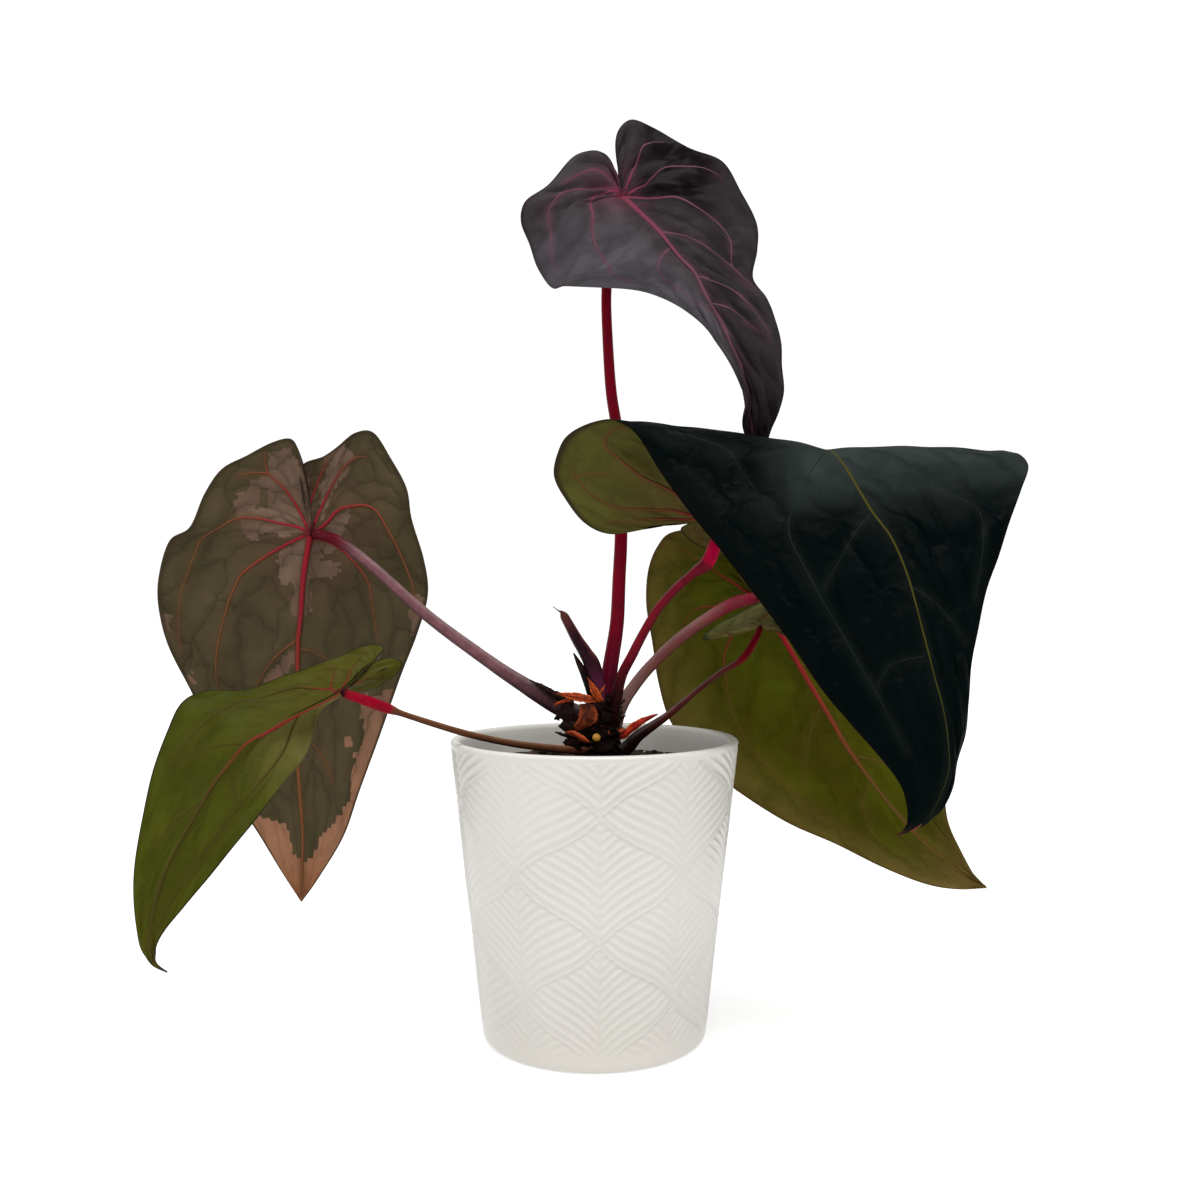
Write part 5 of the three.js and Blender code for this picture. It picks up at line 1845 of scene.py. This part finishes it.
class ANTHURIUM_OT_stage(bpy.types.Operator):
    """Sets the floor, the light and the camera"""

    bl_idname = "anthurium.stage"
    bl_label = "Stage"

    def execute(self, context):
        settings = context.scene.anthurium_stage
        self.floor()
        self.surroundings(context.scene, settings)

        bpy.ops.object.light_add(type="SUN", location=LIGHT_PLACE)
        light = context.object
        light.name = "key_light"
        light.data.angle = math.radians(40)
        light.data.energy = settings.key
        way = Vector(LIGHT_TARGET) - light.location
        light.rotation_euler = way.to_track_quat("-Z", "Y").to_euler()

        tilt = math.radians(90 - CAMERA_DROP)
        bpy.ops.object.camera_add(location=CAMERA_PLACE, rotation=(tilt, 0, 0))
        camera = context.object
        camera.name = "camera"
        camera.data.sensor_width = 36
        camera.data.lens = CAMERA_LENS
        camera.data.clip_start = 0.01
        context.scene.camera = camera
        context.scene.view_settings.view_transform = "Standard"
        return {"FINISHED"}

    def floor(self):
        """The pale floor, which glows a little so that it melts into the background."""
        deselect_all()
        bpy.ops.mesh.primitive_plane_add(size=8, location=(0, 0, 0))
        floor = bpy.context.object
        floor.name = "floor"
        finish, tree, shader = new_finish("floor", shine=0.1)
        cloud = noise(tree, object_place(tree), scale=3.0, detail=2.0)
        feed(tree, shader.inputs["Base Color"], layered(tree, srgb(FLOOR_GREY), (cloud, FLOOR_SHADE)))
        shader.inputs["Roughness"].default_value = 0.9
        shader.inputs["Emission Color"].default_value = (1, 1, 1, 1)
        shader.inputs["Emission Strength"].default_value = 0.6
        put_on(floor, finish)

    def surroundings(self, scene, settings):
        """Even light, stronger from above and from the sides. The camera sees a white background."""
        seen_strength = 1.05
        side_strength = 0.16
        world = bpy.data.worlds.new("studio")
        scene.world = world
        world.use_nodes = True
        tree = world.node_tree
        background = tree.nodes["Background"]
        background.inputs["Color"].default_value = (1, 1, 1, 1)
        x, _, z = axes_of(tree, tree.nodes.new("ShaderNodeTexCoord").outputs["Generated"])
        lit = between(tree, z, -0.1, 0.9, settings.horizon, settings.sky)
        lit = times(tree, sums(tree, "ABSOLUTE", x), side_strength, lit)
        seen = tree.nodes.new("ShaderNodeLightPath").outputs["Is Camera Ray"]
        hidden = sums(tree, "SUBTRACT", 1.0, seen)
        strength = times(tree, seen, seen_strength, times(tree, hidden, lit))
        feed(tree, background.inputs["Strength"], strength)


class ANTHURIUM_PT_panel(bpy.types.Panel):
    """Lists the steps and their settings"""

    bl_label = "Anthurium"
    bl_idname = "ANTHURIUM_PT_panel"
    bl_space_type = "VIEW_3D"
    bl_region_type = "UI"
    bl_category = "Anthurium"

    def draw(self, context):
        layout = self.layout
        for step in STEPS:
            layout.operator(step.bl_idname)
        scene = context.scene
        for group in (scene.anthurium_pot, scene.anthurium_leaf, scene.anthurium_stage):
            box = layout.box()
            for name in type(group).__annotations__:
                box.prop(group, name)


STEPS = (
    ANTHURIUM_OT_stage,
    ANTHURIUM_OT_pot,
    ANTHURIUM_OT_soil,
    ANTHURIUM_OT_stem,
    ANTHURIUM_OT_petioles,
    ANTHURIUM_OT_sheaths,
    ANTHURIUM_OT_fibres,
    ANTHURIUM_OT_blades,
)
SETTINGS = (PotSettings, LeafSettings, StageSettings)


def register():
    """Adds the settings, the operators and the panel."""
    for kind in (*SETTINGS, *STEPS, ANTHURIUM_PT_panel):
        bpy.utils.register_class(kind)
    bpy.types.Scene.anthurium_pot = bpy.props.PointerProperty(type=PotSettings)
    bpy.types.Scene.anthurium_leaf = bpy.props.PointerProperty(type=LeafSettings)
    bpy.types.Scene.anthurium_stage = bpy.props.PointerProperty(type=StageSettings)


def unregister():
    """Takes them away again."""
    del bpy.types.Scene.anthurium_stage
    del bpy.types.Scene.anthurium_leaf
    del bpy.types.Scene.anthurium_pot
    for kind in reversed((*SETTINGS, *STEPS, ANTHURIUM_PT_panel)):
        bpy.utils.unregister_class(kind)


def main():
    """Builds everything in order."""
    register()
    bpy.ops.anthurium.stage()
    bpy.ops.anthurium.pot()
    bpy.ops.anthurium.soil()
    bpy.ops.anthurium.stem()
    bpy.ops.anthurium.petioles()
    bpy.ops.anthurium.sheaths()
    bpy.ops.anthurium.fibres()
    bpy.ops.anthurium.blades()
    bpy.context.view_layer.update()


if __name__ == "__main__":
    main()
